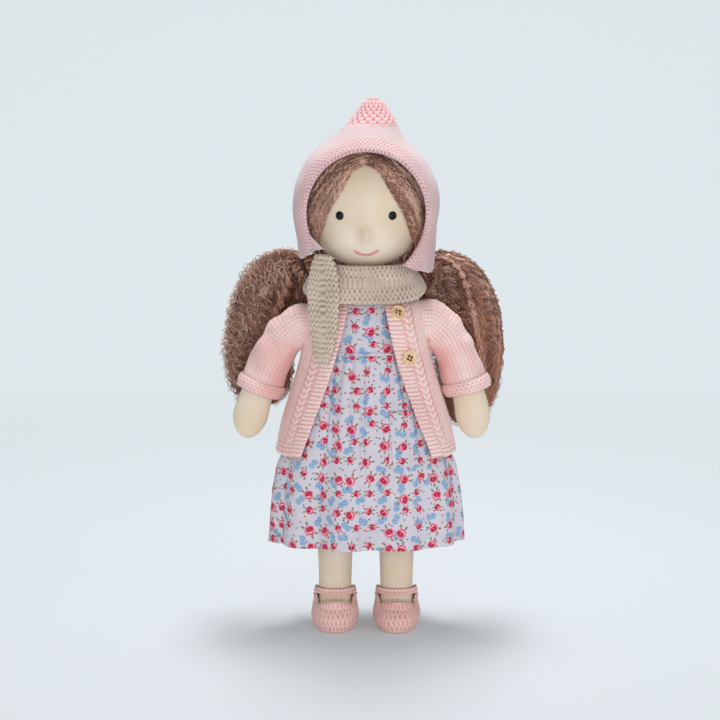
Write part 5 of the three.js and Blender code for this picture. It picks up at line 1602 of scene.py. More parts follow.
class ClothDollBonnet(bpy.types.Operator):
    """Make the pointed bonnet with its band round the face and its bobbled point"""

    bl_idname = "cloth_doll.bonnet"
    bl_label = "Bonnet"

    def execute(self, context):
        knitting = context.scene.cloth_doll_knitting
        self.stitch, self.row = knitting.stitch_width * 1000, knitting.row_height * 1000
        self.depth = knitting.relief * 1000
        self.crown()
        self.band()
        return {"FINISHED"}

    def crown(self):
        turn = np.radians(np.linspace(137, 3, 105))
        low = OPENING_Z + OPENING_HALF[1] * np.cos(turn)
        gap = OPENING_HALF[0] * np.sin(turn)
        high = np.linspace(low[-1] + 0.3, 357, 60)
        heights = np.concatenate([low, high])
        gaps = np.concatenate([gap, 0 * high])
        half_x = bonnet_section(heights)[0]
        start = np.arccos(np.clip(gaps / half_x, 0, 1))
        columns = 310
        share = np.linspace(0, 1, columns)[None]
        turns = -start[:, None] + (math.pi + 2 * start[:, None]) * share
        points = bonnet_places(turns, heights[:, None] + 0 * turns)
        points[..., 2] += bonnet_hem(points) * (1 - smoothstep(heights, 253.5, 285))[:, None]
        points = on_bonnet(points)
        cloth = row_lengths(points, columns // 2)
        moved = uneven(cloth, points, 0.25, 46)
        plain = 0.45 + 0.4 * stocking(*counts(moved, self.stitch, self.row))
        turn_share = (share - 0.5) * 2
        bobbles = seed_stitch(turn_share * 7.5 * (1 + 0 * heights[:, None]), heights[:, None] / 2.1)
        tip = smoothstep(heights, 340, 343)[:, None]
        relief = plain * (1 - tip) + bobbles * tip
        normals = normals_of(points, around=False)
        made = moved_out(points, normals, relief * self.depth * (0.7 + 1.3 * tip))
        made = moved_out(made, normals, 0.5 * wobble(points, 13.0, 3) * (1 - tip))
        made = np.concatenate([turned_in(made, normals, "first_row", 1.0, 5), self.top_of(made)])
        extra = len(made) - len(cloth)
        crown = spread("bonnet_crown", made, longer(cloth, 5, extra - 5), longer(relief, 5, extra - 5))
        finish(crown, "head", "crown", ["bonnet"])

    def top_of(self, made):
        ring = made[-1]
        middle = ring.mean(axis=0)
        steps = ((0.75, 0.6), (0.4, 1.0), (0.0, 1.2))
        return np.array([middle + (ring - middle) * share + (0, 0, rise) for share, rise in steps])

    def band(self):
        """The band is marched outwards over the crown from the edge of the opening."""
        angle = np.radians(np.linspace(-52, 212, 470))
        x, z = OPENING_HALF[0] * np.cos(angle), OPENING_Z + OPENING_HALF[1] * np.sin(angle)
        half_x, half_y = bonnet_section(z)
        edge = together(x, -np.sqrt(np.clip(1 - (x / half_x) ** 2, 0, 1)) * half_y, z)
        edge = on_bonnet(edge)
        rows = [edge]
        step = 0.45
        for _ in range(25):
            here = rows[-1]
            along = unit(np.gradient(here, axis=0))
            smooth_along = along.copy()
            smooth_along[2:-2] = unit(along[:-4] + along[1:-3] + along[2:-2] + along[3:-1] + along[4:])
            outwards = unit(np.cross(bonnet_normals(here), smooth_along))
            if outwards[len(here) // 2, 2] < 0:
                outwards = -outwards
            outwards[:, 2] *= smoothstep(here[:, 2], 244, 262)
            outwards = unit(outwards)
            rows.append(on_bonnet(here + outwards * step))
        points = np.array(rows)
        normals = bonnet_normals(points)
        cloth = uneven(flat_places(points), points, 0.22, 44)
        stitch, row = counts(cloth, *BAND_STITCH)
        relief = 0.35 * garter(stitch, row) + 0.65 * seed_stitch(stitch, row)
        proud = 0.55 + 0.35 * np.sin(np.linspace(0, math.pi, len(points)))[:, None]
        made = moved_out(points, normals, proud + relief * self.depth * 1.5)
        made = turned_in(made, normals, "first_row", 1.2, 6)
        made = turned_in(made, longer(normals, 6), "last_row", 0.5, 3)
        band = spread("bonnet_band", made, longer(cloth, 6, 3), longer(relief, 6, 3))
        finish(band, "head", "bonnet")


def scarf_band_frame(turns):
    """The middle of the band at turns round the neck, and its directions along its width and outwards."""
    c, n = np.cos(turns), np.sin(turns)
    front = np.maximum(0, -n)
    lobe = 2.5 * bell(turns - 1.06 * math.pi, 0.35)
    x = (34 + lobe) * signed_power(c, 0.8)
    y = np.where(n < 0, 29, 26) * signed_power(n, 0.8)
    lean = np.radians(30 + (17 - 30) * front**0.8)[:, None]
    out = unit(together(c / 34, n / 29, 0))
    up = np.concatenate([-out[:, :2] * np.sin(lean), np.cos(lean)], axis=1)
    face = np.concatenate([out[:, :2] * np.cos(lean), np.sin(lean)], axis=1)
    centre = together(x, y, 237.2 + 2.6 * (1 - front))
    half = 12.4 * (0.84 + 0.16 * smoothstep(front, 0, 0.7))
    return centre, up, face, half


def woollen_ring(centre, up, face, half, thick, steps):
    """Flat rings with soft edges, one row for each centre."""
    c, s = signed_power(np.cos(steps), 0.55), signed_power(np.sin(steps), 0.75)
    return (
        centre[:, None]
        + up[:, None] * (np.outer(half, c))[..., None]
        + face[:, None] * (thick * s)[None, :, None] * np.ones((len(centre), 1, 1))
    )


class ClothDollScarf(bpy.types.Operator):
    """Make the scarf, wrapped round the neck with its tail in front"""

    bl_idname = "cloth_doll.scarf"
    bl_label = "Scarf"

    def execute(self, context):
        knitting = context.scene.cloth_doll_knitting
        self.stitch, self.depth = knitting.scarf_stitch * 1000, knitting.scarf_relief * 1000
        self.band()
        self.tail()
        return {"FINISHED"}

    def band(self):
        turns = full_turn(400, 0.3)
        centre, up, face, half = scarf_band_frame(turns)
        steps = full_turn(112)
        points = woollen_ring(centre, up, face, half, 1.75, steps)
        sag = 0.8 * wobble(points, 9.0, 5) * np.clip(np.abs(np.sin(steps)), 0, 1)[None]
        points = points + face[:, None] * sag[..., None] * 0.7
        from_crease = np.cos(steps) * 13.5 - 2.5 - 2.5 * np.sin(turns * 2)[:, None]
        crease = bell(from_crease, 1.6) * (np.sin(steps) > 0)[None]
        points = points - face[:, None] * (1.2 * crease)[..., None]
        along, across = lengths(points, 0)[:, None], lengths(points, 1)[None]
        normals = normals_of(points, around=True)
        cloth = uneven(together(along, across), points, 0.55, 40)
        stitch, row = counts(cloth, self.stitch, SCARF_ROW)
        relief = 0.6 * seed_stitch(stitch, row) + 0.4 * stocking(stitch, row)
        made = moved_out(points, normals, relief * self.depth)
        band = spread("scarf_band", made, cloth, relief, closed=True)
        finish(band, "torso", "oat", ["scarf"])

    def tail(self):
        share = np.linspace(0, 1, 170)
        stations = np.array(TAIL_STATIONS).T
        x, y, half, turn = (np.interp(share, stations[0], values) for values in stations[1:])
        turn = np.radians(turn)
        along = together(np.cos(turn), -np.sin(turn), 0)
        face = together(-np.sin(turn), -np.cos(turn), 0)
        centre = together(x, y, TAIL_TOP - TAIL_LENGTH * share)
        steps = full_turn(84)
        points = woollen_ring(centre, along, face, half, 1.7, steps)
        points += face[:, None] * (0.7 * wobble(points, 10.0, 6))[..., None]
        down, across = lengths(points, 0)[:, None], lengths(points, 1)[None]
        zigzag = 0.9 * np.abs(((across + 40) / 5.6) % 2 - 1)
        cloth = uneven(together(across, down), points, 0.3, 42)
        stitch, rows = cloth[..., 0] / (self.stitch * TAIL_STITCH), cloth[..., 1] + zigzag
        ridges, pips = garter(stitch, rows / TAIL_ROWS[0], 0.5), seed_stitch(stitch, rows / TAIL_ROWS[1])
        relief = 0.05 + 0.45 * ridges + 0.5 * pips
        normals = normals_of(points, around=True)
        made = moved_out(points, normals, relief * self.depth * 1.25)
        ends = closed_rings(made)
        extra = (len(ends) - len(made)) // 2
        cloth, relief = longer(cloth, extra, extra), longer(relief, extra, extra)
        tail = spread("scarf_tail", ends, cloth, relief, closed=True)
        finish(tail, "torso", "oat")


def skirt_places(turns, heights, offset=0.0, gathers=0.0):
    """The skirt's outer face: deep folds grow towards the hem, and small gathers run out below the waist."""
    half_x, half_y = skirt_section(heights)
    down = np.clip((WAIST_HEIGHT - heights) / (WAIST_HEIGHT - HEM_HEIGHT), 0, 1)
    depth = 6 * down**1.15 + 0.5 * smoothstep(down, 0, 0.1)
    wave = (0.5 - 0.5 * np.cos(SKIRT_FOLDS * turns + 0.8 * np.sin(2 * turns) + 0.6)) ** 1.3
    wave = wave * (1 + 0.45 * gathers * np.sin(3 * turns + 0.7))
    small = np.cos(43 * turns + 2.3 * np.sin(5 * turns)) * (0.55 + 0.45 * np.sin(7 * turns + 1))
    creases = bell(np.sin(9.5 * turns + 1.2 * np.sin(3 * turns)) - 1, 0.05) * (1 - 0.45 * down)
    ease = gathers * smoothstep(down, 0.0, 0.04) * (1 - smoothstep(down, 0.1, 0.75))
    fold = depth * wave + 0.9 * ease * (1 - small) + 2.3 * gathers * smoothstep(down, 0.02, 0.3) * creases
    fold = fold + 0.7 * gathers * bell(heights - (WAIST_HEIGHT - 0.6), 0.6)
    power = 2 / (2 + 0.2 * smoothstep(heights, CARDIGAN_HEM, WAIST_HEIGHT))
    c, n = np.cos(turns), np.sin(turns)
    x = (half_x - fold + offset) * np.sign(c) * np.abs(c) ** power
    y = (half_y - 0.8 * fold + offset) * np.sign(n) * np.abs(n) ** power
    return together(x, y, heights)


def follow_leg(piece):
    """Bake a piece of the skirt's transform into its mesh."""
    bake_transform(piece)
    x, y, z = places_of(piece).T


class ClothDollDress(bpy.types.Operator):
    """Make the printed dress with its gathered skirt and patch pocket, and the underpants"""

    bl_idname = "cloth_doll.dress"
    bl_label = "Dress"

    def execute(self, context):
        self.bodice()
        for name, side in SIDES.items():
            self.skirt(name, side)
        self.pocket()
        self.underpants()
        return {"FINISHED"}

    def bodice(self):
        heights = np.linspace(189.2, 226.6, 60)
        turns = full_turn(220, math.pi / 2)
        points = rings(torso_section, heights, turns, BODY_ROUND, 1.25)
        over = 1.5 * bell(heights - 190.3, 1.0)
        points = moved_out(points, normals_of(points, around=True), over[:, None])
        points = moved_out(points, normals_of(points, around=True), 0.25 * wobble(points, 5.0, 7))
        cloth = row_lengths(points, 110)
        cloth[..., 1] = 57 - cloth[..., 1]
        piece = spread("dress_bodice_cloth", points, cloth)
        cut_away(piece, armhole(BODICE_ARMHOLE))
        finish(piece, "torso", "floral", ["dress_bodice"])

    def skirt(self, name, side):
        gathered = np.linspace(WAIST_HEIGHT + 0.6, 160, 60)
        heights = np.concatenate([gathered[:-1], np.linspace(160, HEM_HEIGHT, 110)])
        half = np.linspace(-math.pi / 2, math.pi / 2, 260)
        turns = half if side > 0 else math.pi - half
        grid_turns, grid_heights = np.meshgrid(turns, heights)
        points = skirt_places(grid_turns, grid_heights, gathers=1.0)
        cloth = row_lengths(points, 0)
        cloth[..., 0] *= side
        normals = normals_of(points)
        hem_line = bell(grid_heights - (HEM_HEIGHT + 7.5), 0.5) * (0.6 + 0.4 * np.cos(cloth[..., 0] * 2.6))
        points = moved_out(points, normals, 0.18 * wobble(points, 6.0, 8) - 0.3 * hem_line)
        made = turned_in(points, normals, "last_row", 0.55, 5)
        piece = spread(f"skirt_{name}_half", made, longer(cloth, after=5))
        finish(piece, None, "floral", ["dress_skirt_front", "dress_skirt_back"])
        follow_leg(piece)

    def pocket(self):
        low, high = POCKET_HEIGHTS
        heights = np.linspace(high, low, 90)
        probe = np.linspace(-math.pi / 2, -0.6, 700)
        rows = []
        for height in heights:
            line = skirt_places(probe, np.full_like(probe, height), gathers=1.0)
            rows.append(np.interp(np.linspace(*POCKET_ACROSS, 90), line[:, 0], probe))
        turns = np.array(rows)
        grid_heights = heights[:, None] + 0 * turns
        points = skirt_places(turns, grid_heights, gathers=1.0)
        normals = normals_of(points)
        from_side = np.linspace(0, POCKET_ACROSS[1] - POCKET_ACROSS[0], 90)[None]
        edge = np.minimum(from_side, from_side[:, -1:] - from_side)
        inside = np.minimum(edge, heights[:, None] - low)
        lift = 0.95 + 0.5 * smoothstep(heights, high - 7, high)[:, None] - 0.45 * bell(inside - 1.6, 0.4)
        lift = lift + 0.25 * bell(heights - (high - 6), 0.5)[:, None]
        cloth = row_lengths(points, 0) + (5.0, 3.0)
        made = moved_out(points, normals, lift)
        facings = {
            "first_column": normals,
            "last_column": longer(normals, left=3),
            "last_row": longer(normals, left=3, right=3),
            "first_row": longer(normals, after=3, left=3, right=3),
        }
        for edge_name, facing in facings.items():
            made = turned_in(made, facing, edge_name, 0.35, 3)
        piece = spread("dress_patch_pocket", made, longer(cloth, 3, 3, 3, 3))
        finish(piece, None, "floral", ["dress_pocket"])
        follow_leg(piece)

    def underpants(self):
        heights = np.linspace(127.5, 168, 60)
        points = rings(torso_section, heights, full_turn(140, math.pi / 2), BODY_ROUND, 1.3)
        middle = points[0].mean(axis=0)
        floor = np.array([middle + (points[0] - middle) * share for share in (0.0, 0.25, 0.5, 0.75)])
        points = clear_of_thighs(np.concatenate([floor, points]), 15.2)
        piece = spread("white_underpants", points, flat_places(points))
        finish(piece, "torso", "pants", ["underpants"])


def front_edge(heights):
    """How far the edge of a cardigan front stands from the middle of the doll."""
    at_neck, at_hem = 12.5, 45
    down = np.clip((CARDIGAN_TOP - heights) / (CARDIGAN_TOP - CARDIGAN_HEM), 0, 1)
    return at_neck + (at_hem - at_neck) * down**1.35


def cardigan_places(turns, heights, grow=0.0):
    half_x, half_y = cardigan_section(heights)
    x = (half_x + grow) * signed_power(np.cos(turns), 2 / CARDIGAN_ROUND)
    y = (half_y + grow) * signed_power(np.sin(turns), 2 / CARDIGAN_ROUND)
    return together(x, y, heights)


class ClothDollCardigan(bpy.types.Operator):
    """Make the knitted cardigan with its front bands, cables, sleeves and wooden buttons"""

    bl_idname = "cloth_doll.cardigan"
    bl_label = "Cardigan"

    def execute(self, context):
        knitting = context.scene.cloth_doll_knitting
        self.stitch, self.row = knitting.stitch_width * 1000, knitting.row_height * 1000
        self.depth = knitting.relief * 1000
        self.back()
        for name, side in SIDES.items():
            self.front(name, side)
            self.sleeve(name, side)
        for name, height in BUTTON_HEIGHTS.items():
            self.button(name, height)
        return {"FINISHED"}

    def cloth_relief(self, across, along, height):
        relief = stocking(across / self.stitch, along / self.row)
        hem = smoothstep(-height, -131, -128)
        return relief * (1 - hem) + garter(across / self.stitch, along / 2.8) * hem

    def panel(self, name, points, made, cloth, relief, edge, replaced):
        """Cut the armhole out of a panel. edge is not used."""
        piece = spread(name, made, cloth, relief)
        cut_away(piece, armhole(CARDIGAN_ARMHOLE))
        finish(piece, "torso", "pink", [replaced])

    def back(self):
        heights = np.linspace(CARDIGAN_TOP, CARDIGAN_HEM, 165)
        turns = np.linspace(0, math.pi, 215)
        grid_turns, grid_heights = np.meshgrid(turns, heights)
        points = cardigan_places(grid_turns, grid_heights)
        wave = 0.7 * wobble(points, 14.0, 9) * np.sin(grid_turns)
        points = moved_out(points, normals_of(points), wave)
        cloth = row_lengths(points, 120)
        relief = self.cloth_relief(cloth[..., 0], cloth[..., 1], grid_heights)
        normals = normals_of(points)
        made = moved_out(points, normals, relief * self.depth * 0.8)
        made = turned_in(made, normals, "last_row", 1.3, 5)
        cloth, relief = longer(cloth, after=5), longer(relief, after=5)
        self.panel("cardigan_back_panel", points, made, cloth, relief, 0.0, "cardigan_back")

    def front(self, name, side):
        heights = np.linspace(CARDIGAN_TOP, CARDIGAN_HEM, 215)
        half_x = cardigan_section(heights)[0]
        edge = np.arccos(np.clip((front_edge(heights) / half_x), 0, 1) ** (CARDIGAN_ROUND / 2))
        share = np.linspace(0, 1, 120)
        turns = -edge[:, None] * (1 - share[None])
        grid_heights = heights[:, None] + 0 * turns
        points = cardigan_places(turns, grid_heights)
        points[..., 0] *= side
        wave = 0.8 * wobble(points, 13.0, 10 + side) * (1 - share)[None]
        points = moved_out(points, normals_of(points), wave)
        cloth = uneven(row_lengths(points, 0), points, 0.2, 50)
        across, along = cloth[..., 0], cloth[..., 1]
        plain = self.cloth_relief(across, along, grid_heights)
        band = garter(across / self.stitch, along / 2.85, 0.2)
        from_cable = across - CABLE_ACROSS
        rope = feather(from_cable / 4.2, along)
        valley = bell(np.abs(from_cable) - 4.6, 0.6)
        in_band = 1 - smoothstep(across, 7.6, 8.6)
        relief = plain * (1 - in_band) + band * in_band
        in_cable = (1 - smoothstep(np.abs(from_cable), 3.9, 4.4)) * (grid_heights > 130)
        relief = relief * (1 - in_cable) + (0.3 * plain + 0.7 * rope) * in_cable
        relief = relief * (1 - 0.45 * valley)
        proud = self.depth * (0.9 + 0.9 * in_band + 1.0 * in_cable)
        normals = normals_of(points)
        made = moved_out(points, normals, relief * proud)
        made = turned_in(made, normals, "first_column", 1.2, 5)
        made = turned_in(made, longer(normals, left=5), "last_row", 1.3, 5)
        cloth, relief = longer(cloth, after=5, left=5), longer(relief, after=5, left=5)
        names = f"cardigan_{name}_front_panel", f"cardigan_{name}_front"
        self.panel(names[0], points, made, cloth, relief, 4.1, names[1])

    def sleeve(self, name, side):
        """Stitch columns run from the shoulder to a cuff that is turned up over the sleeve."""
        height = SHOULDER_HEIGHT + side * SHOULDER_TILT
        inner = np.array([(side * x, 0.0, height) for x in np.linspace(35, ARM_START, 9)])
        shares = np.linspace(0, CUFF_SHARE + 0.004, 150)[1:]
        outer = path_through(arm_path(side), shares)
        centres = np.concatenate([inner, outer])
        tangents = unit(np.gradient(centres, axis=0))
        for _ in range(30):
            tangents[1:-1] = unit(tangents[:-2] + 2 * tangents[1:-1] + tangents[2:])
            tangents[:9] = (side, 0, 0)
        keys = (0, 0.15, 0.5, 0.75, 1)
        reach = np.concatenate([np.zeros(9), shares / CUFF_SHARE])
        wide = np.interp(reach, keys, (15.0, 14.6, 13.9, 14.65, 15))
        thick = np.interp(reach, keys, (14.8, 14.3, 13.7, 13.85, 14))
        wide[:9] = np.linspace(14.2, 15.0, 9)
        thick[:9] = np.linspace(14.2, 14.8, 9)
        turns = full_turn(136, math.pi / 2)
        points = ovals(centres, *square_to(tangents), wide - 0.7, thick - 0.7, turns)
        points[9:, :, 0] = side * np.maximum(side * points[9:, :, 0], ARM_START - 0.6)
        ripple = 0.5 * np.sin(reach * 24)[:, None] * np.maximum(-np.cos(turns) * side, 0)[None]
        crease = 0.8 * wobble(points, 6.5, 12 + side) + ripple
        normals = normals_of(points, around=True)
        points = moved_out(points, normals, crease * smoothstep(reach, 0.05, 0.3)[:, None])
        count = 14
        low = points[-1:]
        back_up = points[-count - 1 : -1][::-1]
        back_normals = normals[-count - 1 : -1][::-1]
        rise = 2.2 * np.sin(np.linspace(0.5, math.pi * 0.93, count))
        raised = moved_out(back_up, back_normals, rise[:, None])
        lip = low + normals[-1:] * 1.2 + unit(tangents[-1]) * 0.6
        grid = np.concatenate([points, lip, raised])
        cloth = np.stack(np.meshgrid(lengths(points, 1), lengths(grid, 0)), axis=-1)
        cloth = uneven(cloth, grid, 0.18, 52 + side)
        relief = stocking(*counts(cloth, self.stitch, self.row))
        cuff = np.zeros(len(grid))
        cuff[len(points) :] = 1
        stitch, row = counts(cloth, *CUFF_STITCH)
        beads = 0.5 * garter(stitch, row) + 0.5 * seed_stitch(stitch, row)
        relief = relief * (1 - cuff)[:, None] + beads * cuff[:, None]
        normals = np.concatenate([normals, normals[-1:], back_normals])
        made = moved_out(grid, normals, relief * self.depth * (0.9 + 0.7 * cuff[:, None]))
        # The wool is painted deeper in colour where the arm lies against the body, as shade between arm and
        # body.
        inside = smoothstep(-side * (grid[..., 0] - grid[..., 0].mean(axis=1, keepdims=True)), -6, 12)
        reach = np.concatenate([reach, np.full(len(grid) - len(reach), 0.95)])
        relief = relief * (1 - 0.55 * inside * bell(reach - 0.7, 0.4)[:, None])
        piece = spread(f"{name}_knitted_sleeve", made, cloth, relief)
        finish(piece, f"{name}_arm", "pink", [f"{name}_sleeve"])

    def button(self, name, height):
        """A turned wooden button with a raised rim and four holes, sewn on with brown thread."""
        half_x = cardigan_section(height)[0]
        x = float(front_edge(np.array(height))) + 6.5
        turn = -math.acos((x / half_x) ** (CARDIGAN_ROUND / 2))
        steps = ((0.02, 0), (-0.02, 0), (0, 1), (0, -1))
        near = [cardigan_places(np.array(turn + dt), np.array(height + dz)) for dt, dz in steps]
        normal = unit(np.cross(near[0] - near[1], near[2] - near[3]))
        place = cardigan_places(np.array(turn), np.array(height))
        disc = {"vertices": 72, "radius": 0.005, "depth": 0.0022}
        button = added(f"{name}_wooden_button", bpy.ops.mesh.primitive_cylinder_add, **disc)
        top = np.array([face.center.z > 0.001 for face in button.data.polygons])
        edit(
            button,
            lambda: bpy.ops.mesh.inset(thickness=0.0009),
            lambda: bpy.ops.mesh.inset(thickness=0.0004, depth=-0.0007),
            kind="FACE",
            chosen=top,
        )
        self.pierce(button)
        bevel = button.modifiers.new("soft edge", "BEVEL")
        bevel.width, bevel.segments, bevel.limit_method = 0.00028, 3, "ANGLE"
        bpy.ops.object.modifier_apply(modifier=bevel.name)
        bpy.ops.object.shade_smooth_by_angle(angle=math.radians(40))
        self.mark_inside(button)
        put(button, place, normal, (1, 1, 1), lift=BUTTON_LIFT)
        finish(button, "torso", "wood", [f"{name}_button"])
        self.stitches(name, place, normal)

    def mark_inside(self, button):
        """Mark the well as half inside and the holes as inside, for the darker well and the painted shade in
        the holes.
        """
        x, y, z = (places_of(button) - (0, AXIS_FORWARD, 0)).T
        in_hole = (np.hypot(np.abs(x) - HOLE_OUT, np.abs(y) - HOLE_OUT) < 0.95) & (z < 0.42)
        in_well = (np.hypot(x, y) < 3.75) & (z < 0.75)
        mark(button.data, "inside", np.where(in_hole, 1.0, np.where(in_well, 0.5, 0.0)))

    def pierce(self, button):
        for x, y in BUTTON_HOLES:
            at = (x * HOLE_OUT * 0.001, y * HOLE_OUT * 0.001, 0)
            bore = {"vertices": 20, "radius": 0.0008, "depth": 0.006, "location": at}
            drill = added("drill", bpy.ops.mesh.primitive_cylinder_add, **bore)
            choose(button)
            hole = button.modifiers.new("hole", "BOOLEAN")
            hole.object, hole.operation, hole.solver = drill, "DIFFERENCE", "EXACT"
            bpy.ops.object.modifier_apply(modifier=hole.name)
            bpy.data.objects.remove(drill, do_unlink=True)

    def stitches(self, name, place, normal):
        """The ends of the sewing thread fill the four holes."""
        turns = full_turn(12)
        for number, (x, y) in enumerate(BUTTON_HOLES, start=1):
            rows = [
                together(size * np.cos(turns), size * np.sin(turns), z)
                for z, size in ((-1.1, 0.6), (-0.3, 0.62), (0.1, 0.5))
            ]
            points = closed_rings(np.array(rows)) + (x * HOLE_OUT, y * HOLE_OUT + AXIS_FORWARD, 0)
            stitch = spread(f"{name}_button_thread_{number}", points, closed=True)
            put(stitch, place, normal, (1, 1, 1), lift=BUTTON_LIFT)
            finish(stitch, "torso", "stitching")


def shoe_section(heights):
    """Half width, half length and middle of a shoe at heights over the floor."""
    up = smoothstep(heights, 8, 23)
    under = 6.8 * (1 - np.sqrt(1 - (1 - np.clip(heights / 10.5, 0, 1)) ** 2))
    forward = up**1.3
    return 16.05 + (13.75 - 16.05) * up - under, 24.3 + (15.3 - 24.3) * forward - under, -8 * (1 - forward)


class ClothDollShoes(bpy.types.Operator):
    """Make the crocheted bar shoes"""

    bl_idname = "cloth_doll.shoes"
    bl_label = "Shoes"

    def execute(self, context):
        self.depth = context.scene.cloth_doll_knitting.crochet_relief * 1000
        for name, side in SIDES.items():
            self.shoe(name, side)
            self.strap(name, side)
        return {"FINISHED"}

    def shoe(self, name, side):
        turns = full_turn(210, math.pi / 2)
        c, s = signed_power(np.cos(turns), 2 / 2.2), signed_power(np.sin(turns), 2 / 2.2)
        share = np.linspace(0, 1, 64)
        points = np.empty((len(share), len(turns), 3))
        rim = np.full(len(turns), 20.0)
        for _ in range(6):
            half_x, half_y, middle = shoe_section(rim)
            rim = np.interp(middle + half_y * s, *np.array(SHOE_RIM).T)
        heights = share[:, None] * rim[None]
        half_x, half_y, middle = shoe_section(heights)
        points[..., 0] = side * LEG_X + (half_x - 0.4) * c
        points[..., 1] = middle + (half_y - 0.4) * s
        points[..., 2] = heights + FLOOR_GAP
        low = points[0]
        centre = low.mean(axis=0)
        sole = np.array([centre + (low - centre) * k for k in np.linspace(0, 0.985, 26)])
        sole[..., 2] = FLOOR_GAP
        # The cap over the toes is drawn in over the foot as far as the opening.
        toe = smoothstep(-np.sin(turns), 0.05, 0.75)
        top = points[-1]
        lip = []
        for k in np.linspace(0.12, 1, 14):
            row = top.copy()
            row[:, 1] += 4.2 * k * toe
            row[:, 0] += (side * LEG_X - top[:, 0]) * 0.1 * k * toe
            round_foot = 1 - ((row[:, 1] + 8) / 21) ** 2 - ((row[:, 0] - side * LEG_X) / 12.75) ** 2
            foot = 11.2 + 10.5 * np.sqrt(np.clip(round_foot, 0, 1))
            rise = np.maximum(foot + 1.0 - row[:, 2], 0)
            row[:, 2] += rise * min(1, 2.2 * k) * toe + 0.6 * math.sin(k * math.pi) * toe
            lip.append(row)
        grid = np.concatenate([sole, points, np.array(lip)])
        across = distances(points[30], 0)
        along = lengths(grid, 0)
        wall = along - along[len(sole) - 1]
        cloth = np.stack(np.meshgrid(across, along), axis=-1)
        local = distances(grid, 0)
        local = local - local[len(sole) - 1]
        loose = wobble(grid, 3.5, 9)
        stitch, row = cloth[..., 0] / SHOE_STITCH[0], local / SHOE_STITCH[1]
        relief = crochet(stitch + 0.22 * loose, row + 0.12 * loose)
        relief = relief * smoothstep(wall, 0.0, 1.2)[:, None]
        normals = normals_of(grid, around=True)
        made = moved_out(grid, normals, relief * self.depth)
        made[..., 2] = np.maximum(made[..., 2], FLOOR_GAP)
        made = turned_in(made, normals, "last_row", 1.1, 6)
        piece = spread(f"{name}_crocheted_shoe", made, longer(cloth, after=6), longer(relief, after=6))
        finish(piece, f"{name}_leg", "shoe", [f"{name}_shoe"])

    def strap(self, name, side):
        turns = np.linspace(-0.06 * math.pi, 1.06 * math.pi, 150)
        lift = np.maximum(0, np.sin(turns))
        out = together(np.cos(turns), -np.sin(turns), 0)
        middle = together(side * LEG_X, 0, 24.4 + 0.8 * lift) + 13.1 * out
        steps = full_turn(40)
        up = np.array((0.0, 0.0, 1.0)) - out * 0.2
        points = woollen_ring(middle, unit(up), out, np.full(len(turns), 1.9), 0.95, steps)
        cloth = flat_places(points)
        relief = stocking(*counts(cloth, *STRAP_STITCH))
        made = closed_rings(moved_out(points, normals_of(points, around=True), relief * 0.45))
        cloth, relief = longer(cloth, 3, 3), longer(relief, 3, 3)
        piece = spread(f"{name}_crocheted_strap", made, cloth, relief, closed=True)
        finish(piece, f"{name}_leg", "shoe", [f"{name}_shoe_strap"])


# The place it is shown in, in metres

CAMERA_PLACE = (-0.004, -1.4855, 0.4174)
CAMERA_AIM = (-0.004, -0.004, 0.1828)
CAMERA_LENS = 111.1
CAMERA_SENSOR = 36
LIGHTS_AIM = (0, 0, 0.18)
# Each light's name, place, width and height, and power in watts.
LIGHTS = (
    ("front_light", (0.1, -1.7, 0.32), (1.6, 1.0), 8.2),
    ("side_light", (1.2, -1.0, 0.7), (1.0, 1.0), 2.4),
    ("top_light", (0.0, 0.3, 1.25), (0.3, 0.6), 11.5),
    ("low_light", (0.0, -1.3, 0.1), (1.4, 0.16), 3.2),
)


def aim(thing, at):
    """Turn a light or the camera to look at a place."""
    thing.rotation_mode = "QUATERNION"
    thing.rotation_quaternion = (Vector(at) - thing.location).to_track_quat("-Z", "Y")


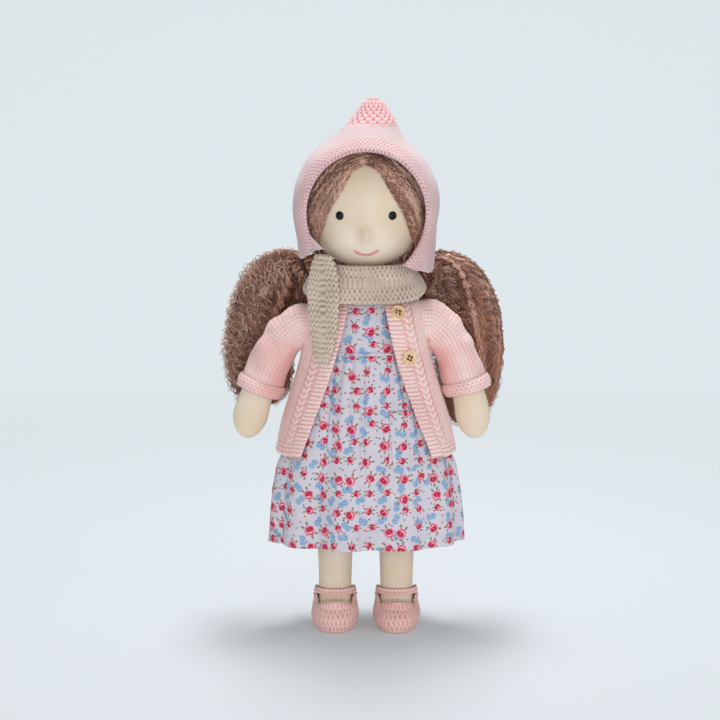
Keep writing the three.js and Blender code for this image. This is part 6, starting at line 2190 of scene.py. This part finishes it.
class ClothDollStage(bpy.types.Operator):
    """Set up the pale floor, the soft lights and the camera"""

    bl_idname = "cloth_doll.stage"
    bl_label = "Floor, lights and camera"

    def execute(self, context):
        colours = context.scene.cloth_doll_colours
        self.backdrop(backdrop_paper("pale_paper", colours.floor, colour(231, 240, 244), 0.8))
        world = bpy.data.worlds.new("studio")
        context.scene.world = world
        world.use_nodes = True
        shade = world.node_tree.nodes["Background"]
        shade.inputs["Color"].default_value = colour(250, 248, 246)
        shade.inputs["Strength"].default_value = 0.42
        # Behind the paper's edges the camera sees the paper's own tone.
        nodes = Nodes(world.node_tree)
        beyond = nodes.add("ShaderNodeBackground", {"Color": colour(224, 231, 235), "Strength": 1.0})
        nodes.seen_directly(shade, beyond, world.node_tree.nodes["World Output"])
        for name, place, size, power in LIGHTS:
            light = added(name, bpy.ops.object.light_add, type="AREA", location=place)
            light.data.shape = "RECTANGLE"
            light.data.size, light.data.size_y = size
            light.data.energy = power
            light.visible_camera = False
            aim(light, LIGHTS_AIM)
        camera = added("camera", bpy.ops.object.camera_add, location=CAMERA_PLACE)
        aim(camera, CAMERA_AIM)
        camera.data.lens, camera.data.sensor_width = CAMERA_LENS, CAMERA_SENSOR
        camera.data.clip_end = 50
        context.scene.camera = camera
        context.scene.view_settings.view_transform = "Standard"
        return {"FINISHED"}

    def backdrop(self, material):
        """One sheet of paper lies on the floor and curves up behind the doll."""
        floor = [(-3000 + 150 * i, 0.0) for i in range(27)]
        bend = [(900 + 900 * math.sin(a), 900 - 900 * math.cos(a)) for a in np.linspace(0, math.pi / 2, 30)]
        wall = [(1800, 900 + 150 * i) for i in range(1, 16)]
        line = np.array(floor + bend + wall)
        across = np.linspace(-4500, 4500, 40)
        points = np.empty((len(line), len(across), 3))
        points[..., 0] = across
        points[..., 1], points[..., 2] = line[:, :1], line[:, 1:]
        paper = spread("pale_backdrop", points)
        cover(paper, material)


class ClothDollPanel(bpy.types.Panel):
    """The doll's pieces and sizes in the sidebar"""

    bl_idname = "VIEW3D_PT_cloth_doll"
    bl_label = "Cloth doll"
    bl_space_type = "VIEW_3D"
    bl_region_type = "UI"
    bl_category = "Cloth doll"

    def draw(self, context):
        scene = context.scene
        for operator in PIECES:
            self.layout.operator(operator.bl_idname)
        for title, settings in (
            ("Knitting", scene.cloth_doll_knitting),
            ("Hair", scene.cloth_doll_hair),
            ("Dress", scene.cloth_doll_dress),
            ("Colours", scene.cloth_doll_colours),
        ):
            box = self.layout.box()
            box.label(text=title)
            for name in settings.bl_rna.properties.keys():
                if name not in ("rna_type", "name"):
                    box.prop(settings, name)


SETTINGS = {
    "cloth_doll_knitting": KnittingSettings,
    "cloth_doll_hair": HairSettings,
    "cloth_doll_dress": DressSettings,
    "cloth_doll_colours": ColourSettings,
}
PIECES = (
    ClothDollBody,
    ClothDollHead,
    ClothDollHair,
    ClothDollBonnet,
    ClothDollScarf,
    ClothDollDress,
    ClothDollCardigan,
    ClothDollShoes,
    ClothDollStage,
)


def register():
    for kind in (*SETTINGS.values(), *PIECES, ClothDollPanel):
        bpy.utils.register_class(kind)
    for name, kind in SETTINGS.items():
        setattr(bpy.types.Scene, name, PointerProperty(type=kind))


def unregister():
    for name in SETTINGS:
        delattr(bpy.types.Scene, name)
    for kind in reversed((*SETTINGS.values(), *PIECES, ClothDollPanel)):
        bpy.utils.unregister_class(kind)


def main():
    register()
    build_materials(bpy.context.scene)
    bpy.ops.cloth_doll.body()
    bpy.ops.cloth_doll.head()
    bpy.ops.cloth_doll.hair()
    bpy.ops.cloth_doll.bonnet()
    bpy.ops.cloth_doll.scarf()
    bpy.ops.cloth_doll.dress()
    bpy.ops.cloth_doll.cardigan()
    bpy.ops.cloth_doll.shoes()
    bpy.ops.cloth_doll.stage()


if __name__ == "__main__":
    main()
